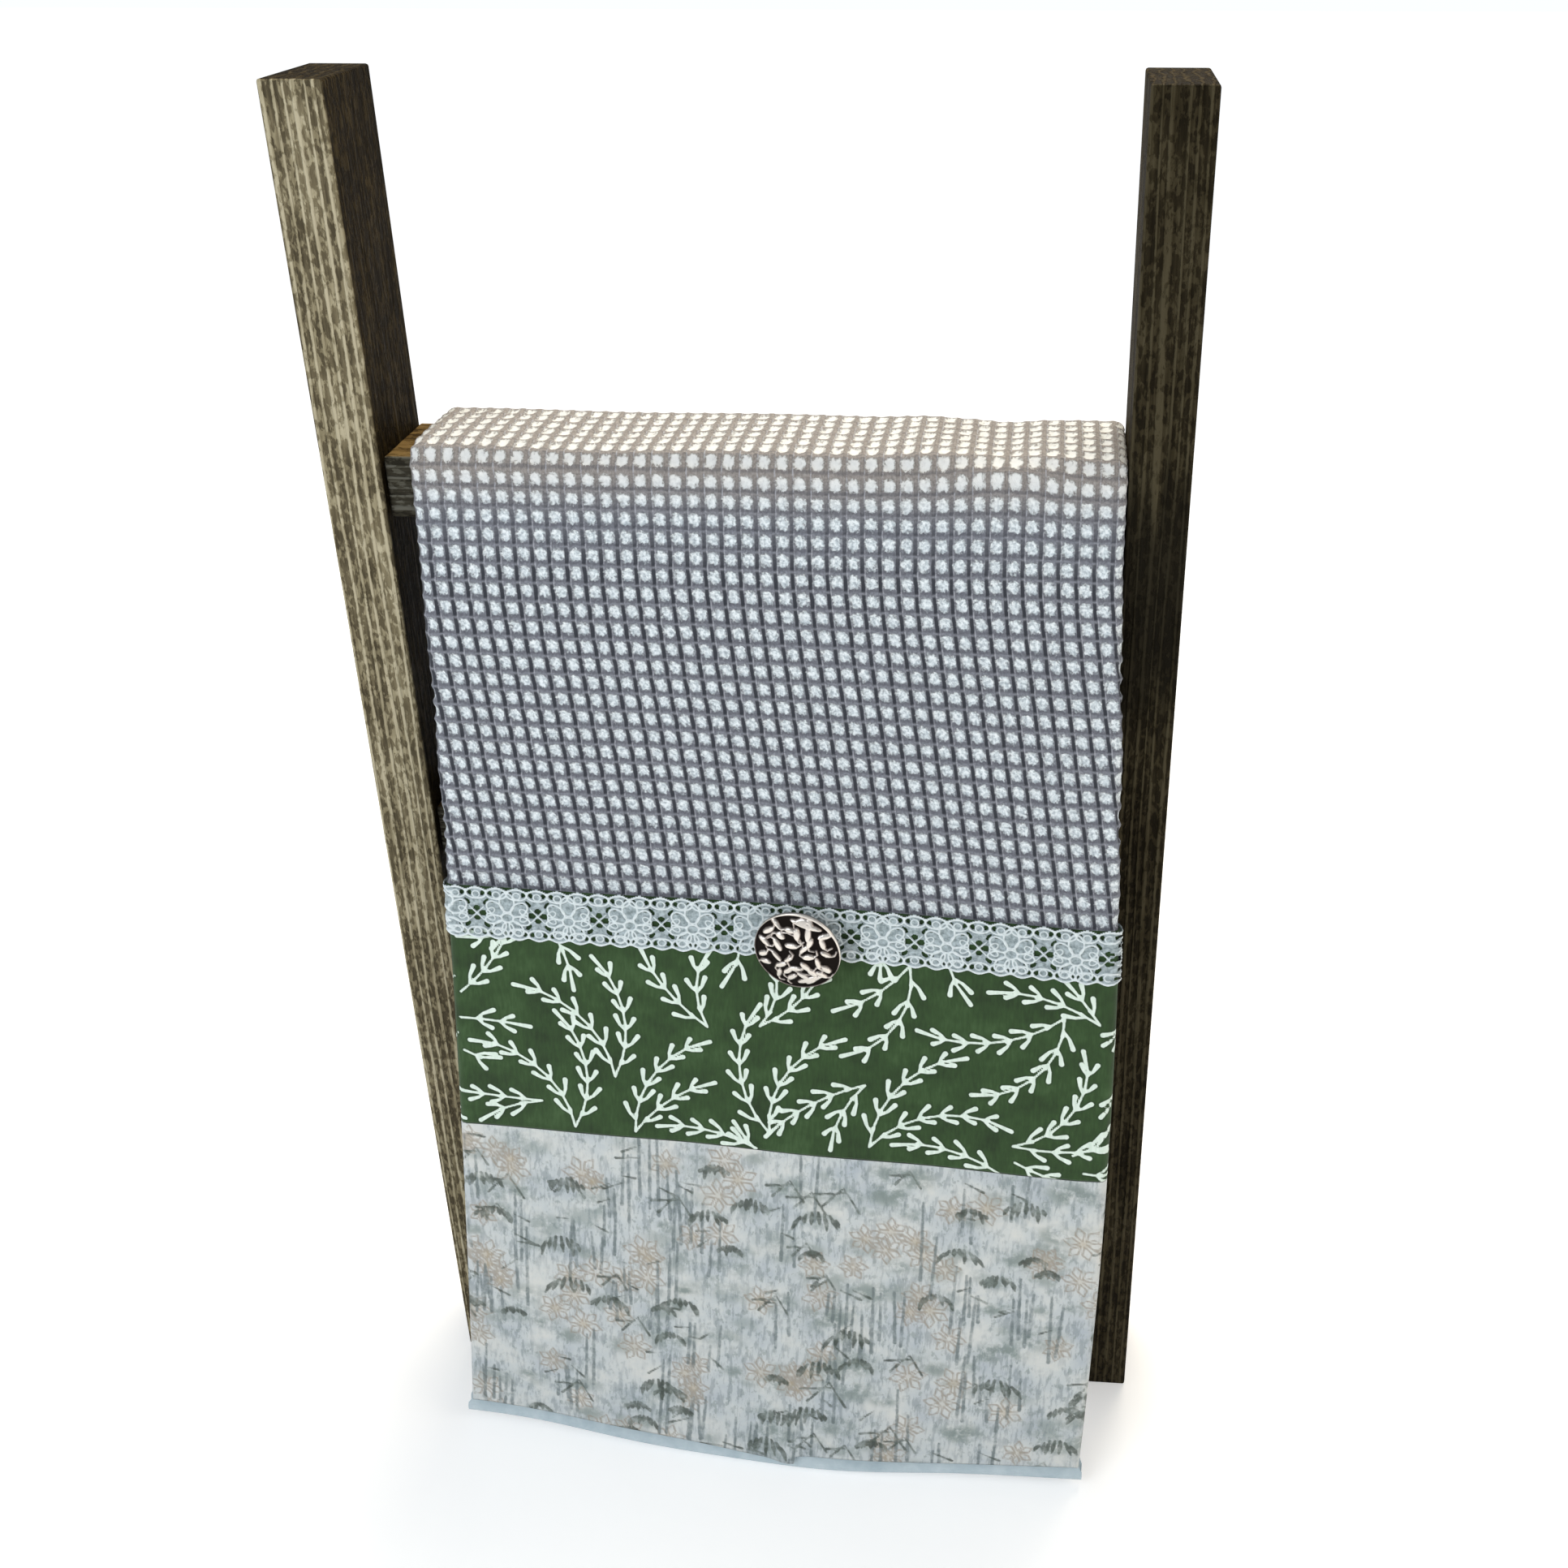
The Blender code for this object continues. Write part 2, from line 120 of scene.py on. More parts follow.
def drape_path():
    """(outer length, middle y, middle z, turn) from the front fold back over the rung and down the back."""
    radius = FOLD_RADIUS + HALF_CLOTH
    front = np.linspace(math.pi - FLAP_TILT, math.pi / 2, 13)
    back = np.linspace(math.pi / 2, 0, 13)
    turn = np.concatenate([front, back, [0]])
    y = np.concatenate([FLAP_TOP_Y + radius + radius * np.cos(front), BACK_Y - radius + radius * np.cos(back),
                        [BACK_Y]])
    z = FLAP_TOP_Z + radius * np.sin(turn)
    z[-1] = TOP_RUNG_TOP - BACK_DROP
    outer = np.stack([y + HALF_CLOTH * np.cos(turn), z + HALF_CLOTH * np.sin(turn)])
    length = np.concatenate([[0], np.cumsum(np.linalg.norm(np.diff(outer), axis=0))])
    return length, y, z, turn


DRAPE = drape_path()
DRAPE_LENGTH = float(DRAPE[0][-1])


def frame_at(x, s):
    """The towel's middle point (y, z) and its outward unit vector (y, z), at X and s."""
    t = s / FLAP_LENGTH
    left, right = edges_at(t)
    across = (2 * x - left - right) / (right - left)
    run_y = -HEM_REACH - HEM_TWIST * across - FLAP_TOP_Y
    run_z = HEM_HEIGHT - FLAP_TOP_Z
    length = np.hypot(run_y, run_z)
    down = [FLAP_TOP_Y + run_y * t, FLAP_TOP_Z + run_z * t, run_z / length, -run_y / length]
    behind = np.maximum(-s, 0)
    turn = np.interp(behind, DRAPE[0], DRAPE[3])
    over = [np.interp(behind, DRAPE[0], DRAPE[1]), np.interp(behind, DRAPE[0], DRAPE[2]), np.cos(turn),
            np.sin(turn)]
    return [np.where(s >= 0, one, other) for one, other in zip(down, over)]


def cloth_columns(front, fold, wing):
    """Columns round the folded cloth, from the left wing's edge to the right wing's edge.

    Rows of the result: side, reach to the fold, turn round it, reach back along the wing, facing (1 on the
    front layer and -1 on the wings), and the place across the unfolded cloth.
    """
    turn = np.linspace(0, math.pi, fold + 1)[1:-1]
    share = np.linspace(0, 1, front // 2 + 1)
    back = np.append(np.linspace(0, 1, wing + 1), 1)
    facing = np.append(-np.ones(wing + 1), -0.3)
    ones, zeros = np.ones_like, np.zeros_like
    reach = np.concatenate([share, ones(turn), ones(back)])
    round_it = np.concatenate([zeros(share), np.sin(turn), zeros(back)])
    along = np.concatenate([zeros(share), zeros(turn), back])
    faces = np.concatenate([ones(share), np.cos(turn), facing])
    flat = np.concatenate([share * HALF_FRONT, HALF_FRONT + turn * HALF_CLOTH,
                           HALF_FRONT + math.pi * HALF_CLOTH + back * WING_REACH])
    right = np.stack([ones(reach), reach, round_it, along, faces, flat])
    left = right[:, :0:-1] * np.array([[-1], [1], [1], [1], [1], [-1]])
    return np.concatenate([left, right], axis=1)


def cloth_points(columns, s, offset=0.0, lift=0.0, half=HALF_CLOTH):
    """Points of a layer that lies offset outside the towel, raised by lift along its own normal."""
    side, reach, round_it, along, faces, _ = columns
    s = np.broadcast_to(s, (len(s), columns.shape[1]))
    left, right = edges_at(s / FLAP_LENGTH)
    middle, wide = (left + right) / 2, (right - left) / 2 - HALF_CLOTH
    half_gap = np.maximum(WING_GAP, (right - left) - CLOTH_WIDTH / 2) / 2
    radius = half + offset
    x = middle + side * (reach * wide + round_it * radius - along * (wide - half_gap + HALF_CLOTH))
    y, z, out_y, out_z = frame_at(x, s)
    depth = faces * (radius + lift)
    x = x + side * round_it * lift
    y, z = y + out_y * depth, z + out_z * depth
    return np.stack([x, y + RACK_FRONT_Y, z], axis=-1)


def s_at(height):
    """How far down the front flap a height lies."""
    return FLAP_LENGTH * (FLAP_TOP_Z - height) / (FLAP_TOP_Z - HEM_HEIGHT)


def bell(value, middle, width):
    return np.exp(-(((value - middle) / width) ** 2))


def waves(x, s, seed, size, count=7):
    """A smooth field of about -1 to 1 with waves of about that size."""
    turns = np.random.default_rng(seed)
    total = 0
    for _ in range(count):
        angle, phase = turns.uniform(0, math.tau, 2)
        length = size * turns.uniform(0.7, 1.5)
        total = total + np.sin(math.tau * (x * math.cos(angle) + s * math.sin(angle)) / length + phase)
    return total / math.sqrt(count * 2)


def pull(x, t):
    """How far up the flap is pulled from straight at X, where t is 0 at the rung and 1 at the front hem."""
    right = np.clip((x + 0.03) / 0.14, 0, 1) ** 1.6
    lace = 0.0011 - 0.0041 * right
    seam = 0.0027 - 0.0043 * right
    hem = 0.0010 + 0.0028 * (x / 0.11) ** 2
    places = (0, LACE_SHARE, SEAM_SHARE, 1)
    near = [np.interp(t, places, row) for row in ((0, 1, 0, 0), (0, 0, 1, 0), (0, 0, 0, 1))]
    return lace * near[0] + seam * near[1] + hem * near[2]


def settle(points, s):
    """Small sags, the bunch near the right end of the rung, and the bulge of the hem's middle."""
    x = points[..., 0]
    s = np.broadcast_to(s, x.shape)
    over = bell(s, -0.024, 0.022)
    outside = np.where(s < 0, points[..., 2] > TOP_RUNG_TOP + 0.002, True)
    bunch = 0.0016 * bell(x, 0.052, 0.011) - 0.0019 * bell(x, 0.079, 0.010)
    t = np.clip(s / FLAP_LENGTH, 0, 1)
    points[..., 2] += over * outside * (bunch + 0.0006 * waves(x, s, 3, 0.07)) + pull(x, t)
    front = np.clip((s - 0.01) / 0.03, 0, 1)
    points[..., 1] += 0.0007 * front * waves(x, s, 5, 0.09)
    points[..., 1] -= HEM_SWAY * np.cos(math.pi * (x - 0.004) / 0.118) * t**4
    return points


# ---- meshes ----


def add_mesh(name, points, faces, finish, fields=None):
    """A smooth mesh object with a node material and one float attribute for each field."""
    mesh = bpy.data.meshes.new(name)
    mesh.from_pydata(np.asarray(points).reshape(-1, 3).tolist(), [], np.asarray(faces).tolist())
    for field, values in (fields or {}).items():
        attribute = mesh.attributes.new(field, "FLOAT", "POINT")
        attribute.data.foreach_set("value", np.ascontiguousarray(values, np.float32).ravel())
    mesh.shade_smooth()
    made = bpy.data.objects.new(name, mesh)
    bpy.context.collection.objects.link(made)
    mesh.materials.append(finish)
    return made


def grid_faces(rows, columns, keep=None):
    """Quads of a grid whose rows run down and columns run right, facing the viewer in front."""
    index = np.arange(rows * columns).reshape(rows, columns)
    quads = np.stack([index[:-1, :-1], index[1:, :-1], index[1:, 1:], index[:-1, 1:]], axis=-1)
    return quads[keep] if keep is not None else quads.reshape(-1, 4)


def used_only(points, faces, fields):
    """Drops the points that no face uses."""
    used, index = np.unique(faces, return_inverse=True)
    fields = {name: values.reshape(-1)[used] for name, values in fields.items()}
    return points.reshape(-1, 3)[used], index.reshape(faces.shape), fields


def place(made, body, slot, *nodes):
    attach(made, body)
    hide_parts(*nodes)
    return made


# ---- drawings of distances to ink ----


class Drawing:
    """Distances to the nearest ink on a grid of flat cloth, in metres, and below 0 inside it."""

    REACH = 0.004

    def __init__(self, across, up):
        self.across, self.up = across, up
        self.field = np.full((len(up), len(across)), self.REACH)
        self.falls = up[0] > up[-1]

    def window(self, xs, zs, grow):
        """The part of the grid near these points, and its coordinates."""
        columns = np.searchsorted(self.across, (min(xs) - grow, max(xs) + grow))
        heights = self.up[::-1] if self.falls else self.up
        rows = np.searchsorted(heights, (min(zs) - grow, max(zs) + grow))
        if self.falls:
            rows = len(heights) - rows[::-1]
        part = (slice(*rows), slice(*columns))
        x, z = np.meshgrid(self.across[part[1]], self.up[part[0]])
        return part, x, z

    def add(self, part, distance):
        if distance.size:
            self.field[part] = np.minimum(self.field[part], distance)

    def stroke(self, start, end, first, last):
        """A straight stroke whose radius runs from first to last."""
        part, x, z = self.window((start[0], end[0]), (start[1], end[1]), self.REACH)
        run = np.subtract(end, start)
        share = ((x - start[0]) * run[0] + (z - start[1]) * run[1]) / max(run @ run, 1e-12)
        share = np.clip(share, 0, 1)
        gap = np.hypot(x - start[0] - share * run[0], z - start[1] - share * run[1])
        self.add(part, gap - first - share * (last - first))

    def path(self, points, first, last):
        shares = np.linspace(0, 1, len(points))
        radii = first + (last - first) * shares
        for (start, one), (end, other) in zip(zip(points, radii), zip(points[1:], radii[1:])):
            self.stroke(start, end, one, other)

    def ellipse(self, centre, sizes, turn, line=None):
        """A filled ellipse, or its outline where line is half the outline's width."""
        grow = max(sizes) + self.REACH
        part, x, z = self.window((centre[0],), (centre[1],), grow)
        c, s = math.cos(turn), math.sin(turn)
        a = ((x - centre[0]) * c + (z - centre[1]) * s) / sizes[0]
        b = ((z - centre[1]) * c - (x - centre[0]) * s) / sizes[1]
        length = np.hypot(a, b)
        slope = np.hypot(a / sizes[0], b / sizes[1]) / np.maximum(length, 1e-6)
        gap = (length - 1) / np.maximum(slope, 1e-6)
        self.add(part, gap if line is None else np.abs(gap) - line)


def heading(angle, length):
    return np.array([math.cos(angle), math.sin(angle)]) * length


# ---- materials ----

SAW_RIDGE = 0.0033
RIDGE_DRIFT = 0.0060


class Nodes:
    """One procedural material, built up node by node."""

    def __init__(self, name, roughness=0.9, **settings):
        self.material = bpy.data.materials.new(name)
        self.material.use_nodes = True
        self.tree = self.material.node_tree
        self.shader = self.tree.nodes["Principled BSDF"]
        self.shader.inputs["Roughness"].default_value = roughness
        for socket, value in settings.items():
            self.shader.inputs[socket.replace("_", " ")].default_value = value

    def add(self, kind, inputs, output=0, **settings):
        node = self.tree.nodes.new("ShaderNode" + kind)
        for name, value in settings.items():
            setattr(node, name, value)
        for socket, value in inputs.items():
            if isinstance(value, bpy.types.NodeSocket):
                self.tree.links.new(value, node.inputs[socket])
            else:
                node.inputs[socket].default_value = value
        return node.outputs[output]

    def math(self, operation, one, other=0.0):
        return self.add("Math", {0: one, 1: other}, operation=operation)

    def times(self, one, other):
        return self.math("MULTIPLY", one, other)

    def plus(self, one, other):
        return self.math("ADD", one, other)

    def weigh(self, *terms):
        """The sum of values, each times its weight."""
        total = self.times(*terms[0])
        for value, weight in terms[1:]:
            total = self.plus(total, self.times(value, weight))
        return total

    def swing(self, value, reach):
        """A value of 0 to 1 turned into one about 0."""
        return self.times(self.minus(value, 0.5), reach)

    def minus(self, one, other):
        return self.math("SUBTRACT", one, other)

    def apart(self, one, other):
        return self.math("ABSOLUTE", self.minus(one, other))

    def step(self, value, low, high, start=0.0, end=1.0):
        inputs = {"Value": value, "From Min": low, "From Max": high, "To Min": start, "To Max": end}
        return self.add("MapRange", inputs, interpolation_type="SMOOTHSTEP")

    def mix(self, factor, one, other, blend="MIX"):
        inputs = {0: factor}
        for socket, value in ((6, one), (7, other)):
            inputs[socket] = (*value, 1.0) if isinstance(value, tuple) else value
        return self.add("Mix", inputs, output=2, data_type="RGBA", blend_type=blend)

    def over(self, colour, where, most, other):
        """A colour with another over it, at most that strongly."""
        return self.mix(self.times(where, most), colour, other)

    def field(self, name):
        return self.add("Attribute", {}, output="Fac", attribute_name=name)

    def place(self, scale=(1, 1, 1), offset=(0, 0, 0)):
        where = self.add("TexCoord", {}, output="Object")
        return self.add("Mapping", {"Vector": where, "Scale": scale, "Location": offset})

    def parts(self, vector):
        node = self.tree.nodes.new("ShaderNodeSeparateXYZ")
        self.tree.links.new(vector, node.inputs[0])
        return node.outputs[0], node.outputs[1], node.outputs[2]

    def join(self, x, y, z=0.0):
        return self.add("CombineXYZ", {0: x, 1: y, 2: z})

    def noise(self, vector, scale, detail=3.0, roughness=0.5, distortion=0.0):
        inputs = {"Vector": vector, "Scale": scale, "Detail": detail, "Roughness": roughness,
                  "Distortion": distortion}
        return self.add("TexNoise", inputs)

    def ramp(self, value, *stops):
        node = self.tree.nodes.new("ShaderNodeValToRGB")
        self.tree.links.new(value, node.inputs[0])
        elements = node.color_ramp.elements
        while len(elements) < len(stops):
            elements.new(0.5)
        for element, (position, colour) in zip(elements, stops):
            element.position = position
            element.color = (*colour, 1.0)
        return node.outputs[0]

    def bump(self, height, distance, strength=1.0, normal=None):
        inputs = {"Height": height, "Distance": distance, "Strength": strength}
        if normal is not None:
            inputs["Normal"] = normal
        return self.add("Bump", inputs)

    def finish(self, colour, normal=None, roughness=None):
        for socket, value in (("Base Color", colour), ("Normal", normal), ("Roughness", roughness)):
            if value is not None:
                self.tree.links.new(value, self.shader.inputs[socket])
        return self.material


def stained_wood(name, along, seed, front, side, zones=()):
    """Rough-sawn softwood with a dark stain. along is the grain's axis.

    front and side multiply the grain's colour, in red, green and blue, on the front face and on all other
    faces: painted light and shade, as the faces differ by how they are lit.
    Each zone is a dark patch across a rail: its height, half its length and its strength.
    """
    make = Nodes(name, roughness=0.7, Specular_IOR_Level=0.04)

    def stretched(share):
        scale = (share, 1, 1) if along == "x" else (1, 1, share)
        return make.place(scale, (seed * 0.37, seed * 0.61, seed * 0.23))

    grain = stretched(0.04)
    broad = make.noise(grain, 350, 2, 0.5, 0.3)
    fibre = make.noise(grain, 1100, 3, 0.65)
    blotch = make.noise(stretched(0.6), 90, 3, 0.6)
    nicks = make.noise(stretched(0.42), 640, 3, 0.6, 0.3)
    x, y, z = make.parts(make.place())
    across = x if along == "z" else z
    drift = make.times(make.noise(grain, 130, 2, 0.5), RIDGE_DRIFT)
    wave = make.math("SINE", make.times(make.plus(across, drift), 2 * math.pi / SAW_RIDGE))
    ridge = make.step(wave, 0.10, 0.95)
    nick = make.step(make.plus(nicks, make.times(ridge, -0.10)), 0.42, 0.56)
    value = make.weigh((broad, 0.55), (fibre, 0.45), (blotch, 0.60), (ridge, 0.20), (nick, -0.24))
    colour = make.ramp(make.step(value, 0.36, 1.16), (0.05, (0.110, 0.095, 0.070)),
                       (0.30, (0.24, 0.210, 0.155)), (0.50, (0.36, 0.325, 0.245)),
                       (0.72, (0.52, 0.480, 0.385)), (0.92, (0.74, 0.70, 0.60)))
    # Painted light and shade: the front face takes the front level and every other face the side level.
    painted_side_light = make.step(y, RACK_FRONT_Y + RUNG_RECESS + 0.0003, RACK_FRONT_Y + RUNG_RECESS + 0.0014)
    if along == "z":
        painted_side_light = make.step(y, RACK_FRONT_Y + 0.0002, RACK_FRONT_Y + 0.0012)
    colour = make.mix(1.0, colour, make.mix(painted_side_light, front, side), "MULTIPLY")
    for height, half, strength in zones:
        ragged = make.swing(broad, half * 1.4)
        away = make.math("ABSOLUTE", make.plus(make.minus(z, height), ragged))
        zone = make.times(make.step(away, half, half * 0.45), strength)
        colour = make.mix(zone, colour, (0.006, 0.005, 0.003))
    height = make.weigh((ridge, 0.7), (fibre, 0.6), (nick, -0.5))
    rough = make.step(fibre, 0.3, 0.7, 0.80, 0.55)
    return make.finish(colour, make.bump(height, 0.0008, 0.8), rough)


def zinc_steel():
    make = Nodes("zinc_steel", roughness=0.42, Metallic=1.0)
    stain = make.noise(make.place(), 420, 4, 0.6)
    colour = make.ramp(stain, (0.30, (0.20, 0.19, 0.18)), (0.55, (0.50, 0.50, 0.51)),
                       (0.80, (0.66, 0.66, 0.68)))
    scratch = make.noise(make.place((1, 0.1, 1)), 2400, 2)
    return make.finish(colour, make.bump(scratch, 0.0001, 0.4), make.step(stain, 0.3, 0.7, 0.62, 0.34))


def yarn_bump(make, x, y, pitch, distance, normal=None):
    """Crossing threads, pitch apart."""
    wave_x = make.math("SINE", make.times(x, math.tau / pitch))
    wave_y = make.math("SINE", make.times(y, math.tau / pitch))
    return make.bump(make.times(wave_x, wave_y), distance, 0.5, normal)


def waffle_cotton():
    """Grey ridges round white pits, with painted light and shade: a painted shadow down one side of each
    column, painted shade under each pit, a painted highlight on the ridges' crests, and warm painted light on
    the top with cool painted light on the front.
    """
    make = Nodes("waffle_cotton", roughness=0.95, Sheen_Weight=0.15)
    u, v, hem, painted_front_light = (make.field(name) for name in ("cell_u", "cell_v", "hem", "painted_front_light"))
    weave = make.join(u, v)
    ragged = make.minus(make.noise(weave, 4.2, 4, 0.72), 0.5)
    coarse = make.noise(weave, 1.3, 2, 0.5)
    across = make.math("FRACT", make.plus(u, make.swing(coarse, 0.12)))
    down = make.math("FRACT", make.plus(v, make.swing(coarse, 0.18)))
    side = make.math("DIVIDE", make.apart(across, 0.59), 0.355)
    tall = make.math("DIVIDE", make.apart(down, 0.43), 0.365)
    shape = make.plus(make.math("POWER", side, 2.4), make.math("POWER", tall, 2.4))
    shape = make.plus(shape, make.times(ragged, 4.2))
    white = make.step(shape, 1.30, 0.50)
    # Painted shadow: a dark line down the flank of each ridge, where the ridge shades the pit beside it,
    # strongest on the front.
    flank_shade = make.step(make.apart(across, 0.10), 0.135, 0.065)
    broken = make.step(make.apart(down, 0.46), 0.50, 0.36)
    flank_shade = make.times(make.times(flank_shade, broken), make.step(ragged, -0.34, -0.16))
    # Painted highlight: a thin light line on each ridge's crest, beside the painted shadow.
    edge = make.step(make.apart(across, 0.245), 0.055, 0.015)
    edge = make.times(edge, make.step(ragged, 0.10, -0.06))
    # Painted shade: a darker band below each pit's white.
    under_shade = make.step(make.apart(down, 0.84), 0.13, 0.03)
    tone = make.noise(weave, 7.0, 4, 0.7)
    cool = make.ramp(tone, (0.32, (0.112, 0.119, 0.146)), (0.68, (0.290, 0.302, 0.340)))
    warm = make.ramp(tone, (0.32, (0.200, 0.175, 0.158)), (0.68, (0.400, 0.365, 0.335)))
    # Painted light: the ridges are warm where the cloth lies on top of the rung and cool grey-blue down the
    # front.
    colour = make.mix(make.step(painted_front_light, -0.10, 0.55), warm, cool)
    colour = make.over(colour, under_shade, 0.42, (0.080, 0.080, 0.100))
    colour = make.over(colour, edge, 0.75, (0.46, 0.47, 0.52))
    colour = make.mix(make.times(flank_shade, painted_front_light), colour, (0.028, 0.032, 0.043))
    bright = make.ramp(make.noise(weave, 5.0, 3, 0.65), (0.34, (0.38, 0.43, 0.47)),
                       (0.47, (0.62, 0.68, 0.71)), (0.60, (0.90, 0.95, 0.97)))
    # Painted light: the pits' whites are plain on the top and bluish on the front.
    pale = make.mix(make.step(painted_front_light, -0.10, 0.55), (0.80, 0.80, 0.78), bright)
    colour = make.mix(white, colour, pale)
    plain = make.mix(make.times(tone, 0.8), (0.30, 0.30, 0.33), (0.62, 0.63, 0.66))
    colour = make.mix(hem, colour, plain)
    normal = make.bump(make.weigh((tone, 0.6), (white, -0.8), (flank_shade, -1.0)), 0.0005, 0.8)
    return make.finish(colour, yarn_bump(make, u, v, 0.125, 0.00012, normal))


def printed_cotton(name):
    make = Nodes(name, roughness=0.92, Sheen_Weight=0.08)
    x, z = make.field("cloth_x"), make.field("cloth_z")
    return make, x, z, make.join(x, z)


def green_print():
    """White sprigs on a mottled forest green."""
    make, x, z, where = printed_cotton("green_print")
    mottle = make.noise(where, 55, 3, 0.6)
    thread = make.noise(make.join(x, make.times(z, 0.2)), 900, 2, 0.5)
    tone = make.weigh((mottle, 0.7), (thread, 0.3))
    green = make.ramp(tone, (0.32, (0.012, 0.032, 0.007)), (0.52, (0.025, 0.064, 0.015)),
                      (0.72, (0.050, 0.106, 0.035)))
    wobble = make.swing(make.noise(where, 700, 2), 0.00022)
    ink = make.step(make.plus(make.field("ink"), wobble), 0.00010, -0.00016)
    white = make.ramp(thread, (0.3, (0.66, 0.78, 0.68)), (0.7, (0.80, 0.90, 0.82)))
    colour = make.mix(ink, green, white)
    edge = make.step(make.apart(make.field("ink"), 0.00040), 0.00040, 0.0)
    colour = make.over(colour, edge, 0.55, (0.012, 0.032, 0.010))
    return make.finish(colour, yarn_bump(make, x, z, 0.00042, 0.00006, make.bump(ink, 0.00006, 0.5)))


def bamboo_print():
    """Grey-green bamboo in watercolour on a pale blue ground, with beige star flowers."""
    make, x, z, where = printed_cotton("bamboo_print")
    soft = make.noise(where, 48, 4, 0.62)
    streak = make.noise(make.join(make.times(x, 2.2), make.times(z, 0.50)), 260, 4, 0.6)
    ground = make.ramp(soft, (0.32, (0.44, 0.49, 0.53)), (0.50, (0.56, 0.60, 0.605)),
                       (0.68, (0.67, 0.68, 0.65)))
    reeds = make.times(make.step(streak, 0.48, 0.60), make.step(soft, 0.70, 0.44))
    colour = make.mix(make.times(reeds, 0.58), ground, (0.23, 0.27, 0.29))
    wash = make.times(make.field("wash"), make.step(make.noise(where, 150, 4, 0.65), 0.36, 0.58))
    colour = make.over(colour, wash, 0.95, (0.215, 0.265, 0.250))
    dabs = make.noise(make.join(x, make.times(z, 0.6)), 420, 3, 0.6)
    dabs = make.times(make.step(dabs, 0.55, 0.64), make.step(soft, 0.66, 0.46))
    colour = make.over(colour, dabs, 0.55, (0.225, 0.270, 0.265))
    wobble = make.swing(make.noise(where, 380, 3), 0.0009)
    pigment = make.noise(where, 210, 3, 0.6)
    petals = make.step(make.plus(make.field("star"), make.times(wobble, 0.4)), 0.00030, -0.00022)
    colour = make.over(colour, make.field("bloom"), 0.55, (0.70, 0.685, 0.65))
    colour = make.over(colour, petals, 0.72, (0.30, 0.255, 0.20))
    colour = make.over(colour, make.field("gold"), 0.60, (0.42, 0.33, 0.19))
    stalk = make.step(make.plus(make.field("stalk"), wobble), 0.00036, -0.00024)
    stalk = make.times(stalk, make.step(pigment, 0.28, 0.62, 0.30, 1.0))
    colour = make.over(colour, stalk, 0.80, (0.125, 0.160, 0.165))
    leaf = make.step(make.plus(make.field("leaf"), wobble), 0.00034, -0.00020)
    leaf = make.times(leaf, make.step(pigment, 0.25, 0.60, 0.45, 1.0))
    dark = make.ramp(pigment, (0.35, (0.12, 0.150, 0.125)), (0.65, (0.040, 0.052, 0.040)))
    colour = make.over(colour, leaf, 0.86, dark)
    return make.finish(colour, yarn_bump(make, x, z, 0.00045, 0.00006))


def lace_cotton():
    """Glossy white cord round a fine blue-grey net."""
    make = Nodes("lace_cotton", roughness=0.8, Sheen_Weight=0.2)
    x, z = make.field("cloth_x"), make.field("cloth_z")
    where = make.join(x, z)
    cord = make.step(make.field("cord"), 0.00010, -0.00018)
    tone = make.noise(where, 900, 2)
    net = make.ramp(make.noise(where, 620, 3, 0.65), (0.36, (0.20, 0.25, 0.26)), (0.62, (0.46, 0.54, 0.57)))
    white = make.ramp(tone, (0.3, (0.68, 0.76, 0.78)), (0.7, (0.86, 0.93, 0.95)))
    twist = make.math("SINE", make.times(make.plus(x, z), math.tau / 0.0007))
    height = make.times(twist, cord)
    mesh_bump = yarn_bump(make, make.plus(x, z), make.minus(x, z), 0.0007, 0.00012)
    return make.finish(make.mix(cord, net, white), make.bump(height, 0.00010, 0.5, mesh_bump))


def lining_cotton():
    make = Nodes("lining_cotton", roughness=0.92, Sheen_Weight=0.1)
    where = make.place()
    x, _, z = make.parts(where)
    tone = make.noise(where, 120, 3, 0.6)
    # Painted shade: the white lining is coloured a darker blue-grey, as it looks in cool shade below the hem.
    colour = make.ramp(tone, (0.3, (0.44, 0.54, 0.59)), (0.7, (0.58, 0.67, 0.71)))
    twill = make.plus(x, z)
    return make.finish(colour, yarn_bump(make, twill, x, 0.0006, 0.0001))


def antique_pewter():
    """Worn bright on the raised leaves and almost black in the recesses. The raised crescent along the upper
    rim is drawn bright too, as a painted highlight.
    """
    make = Nodes("antique_pewter", roughness=0.33, Metallic=1.0)
    raised = make.field("raised")
    wear = make.noise(make.place(), 900, 3, 0.6)
    value = make.plus(raised, make.swing(wear, 0.35))
    colour = make.ramp(value, (0.12, (0.014, 0.011, 0.010)), (0.38, (0.13, 0.110, 0.100)),
                       (0.66, (0.46, 0.41, 0.38)), (0.98, (0.76, 0.71, 0.65)))
    return make.finish(colour, make.bump(wear, 0.00012, 0.5), make.step(value, 0.2, 0.8, 0.62, 0.28))


def sewing_thread():
    make = Nodes("sewing_thread", roughness=0.7, Sheen_Weight=0.2)
    tone = make.noise(make.place(), 2500, 2)
    return make.finish(make.ramp(tone, (0.3, (0.60, 0.60, 0.57)), (0.7, (0.84, 0.84, 0.81))),
                       make.bump(tone, 0.00005, 0.5))


# ---- the towel ----


def cell_fields(columns, s):
    """Cell coordinates of the weave: u across, v down, both whole numbers on the ridges."""
    flat = columns[5][None, :]
    s = np.broadcast_to(s, (len(s), columns.shape[1]))
    drift = SKEW * np.sqrt(np.maximum(s - SKEW_START, 0) ** 2 + 0.02**2) - SKEW * 0.02
    drift = np.where(s > SKEW_START, drift, 0)
    bunch = 0.0042 * bell(flat, 0.078, 0.018) * bell(s, -0.02, 0.03)
    return (flat - drift) / CELL_ACROSS + 0.5, (s + bunch) / CELL_DOWN


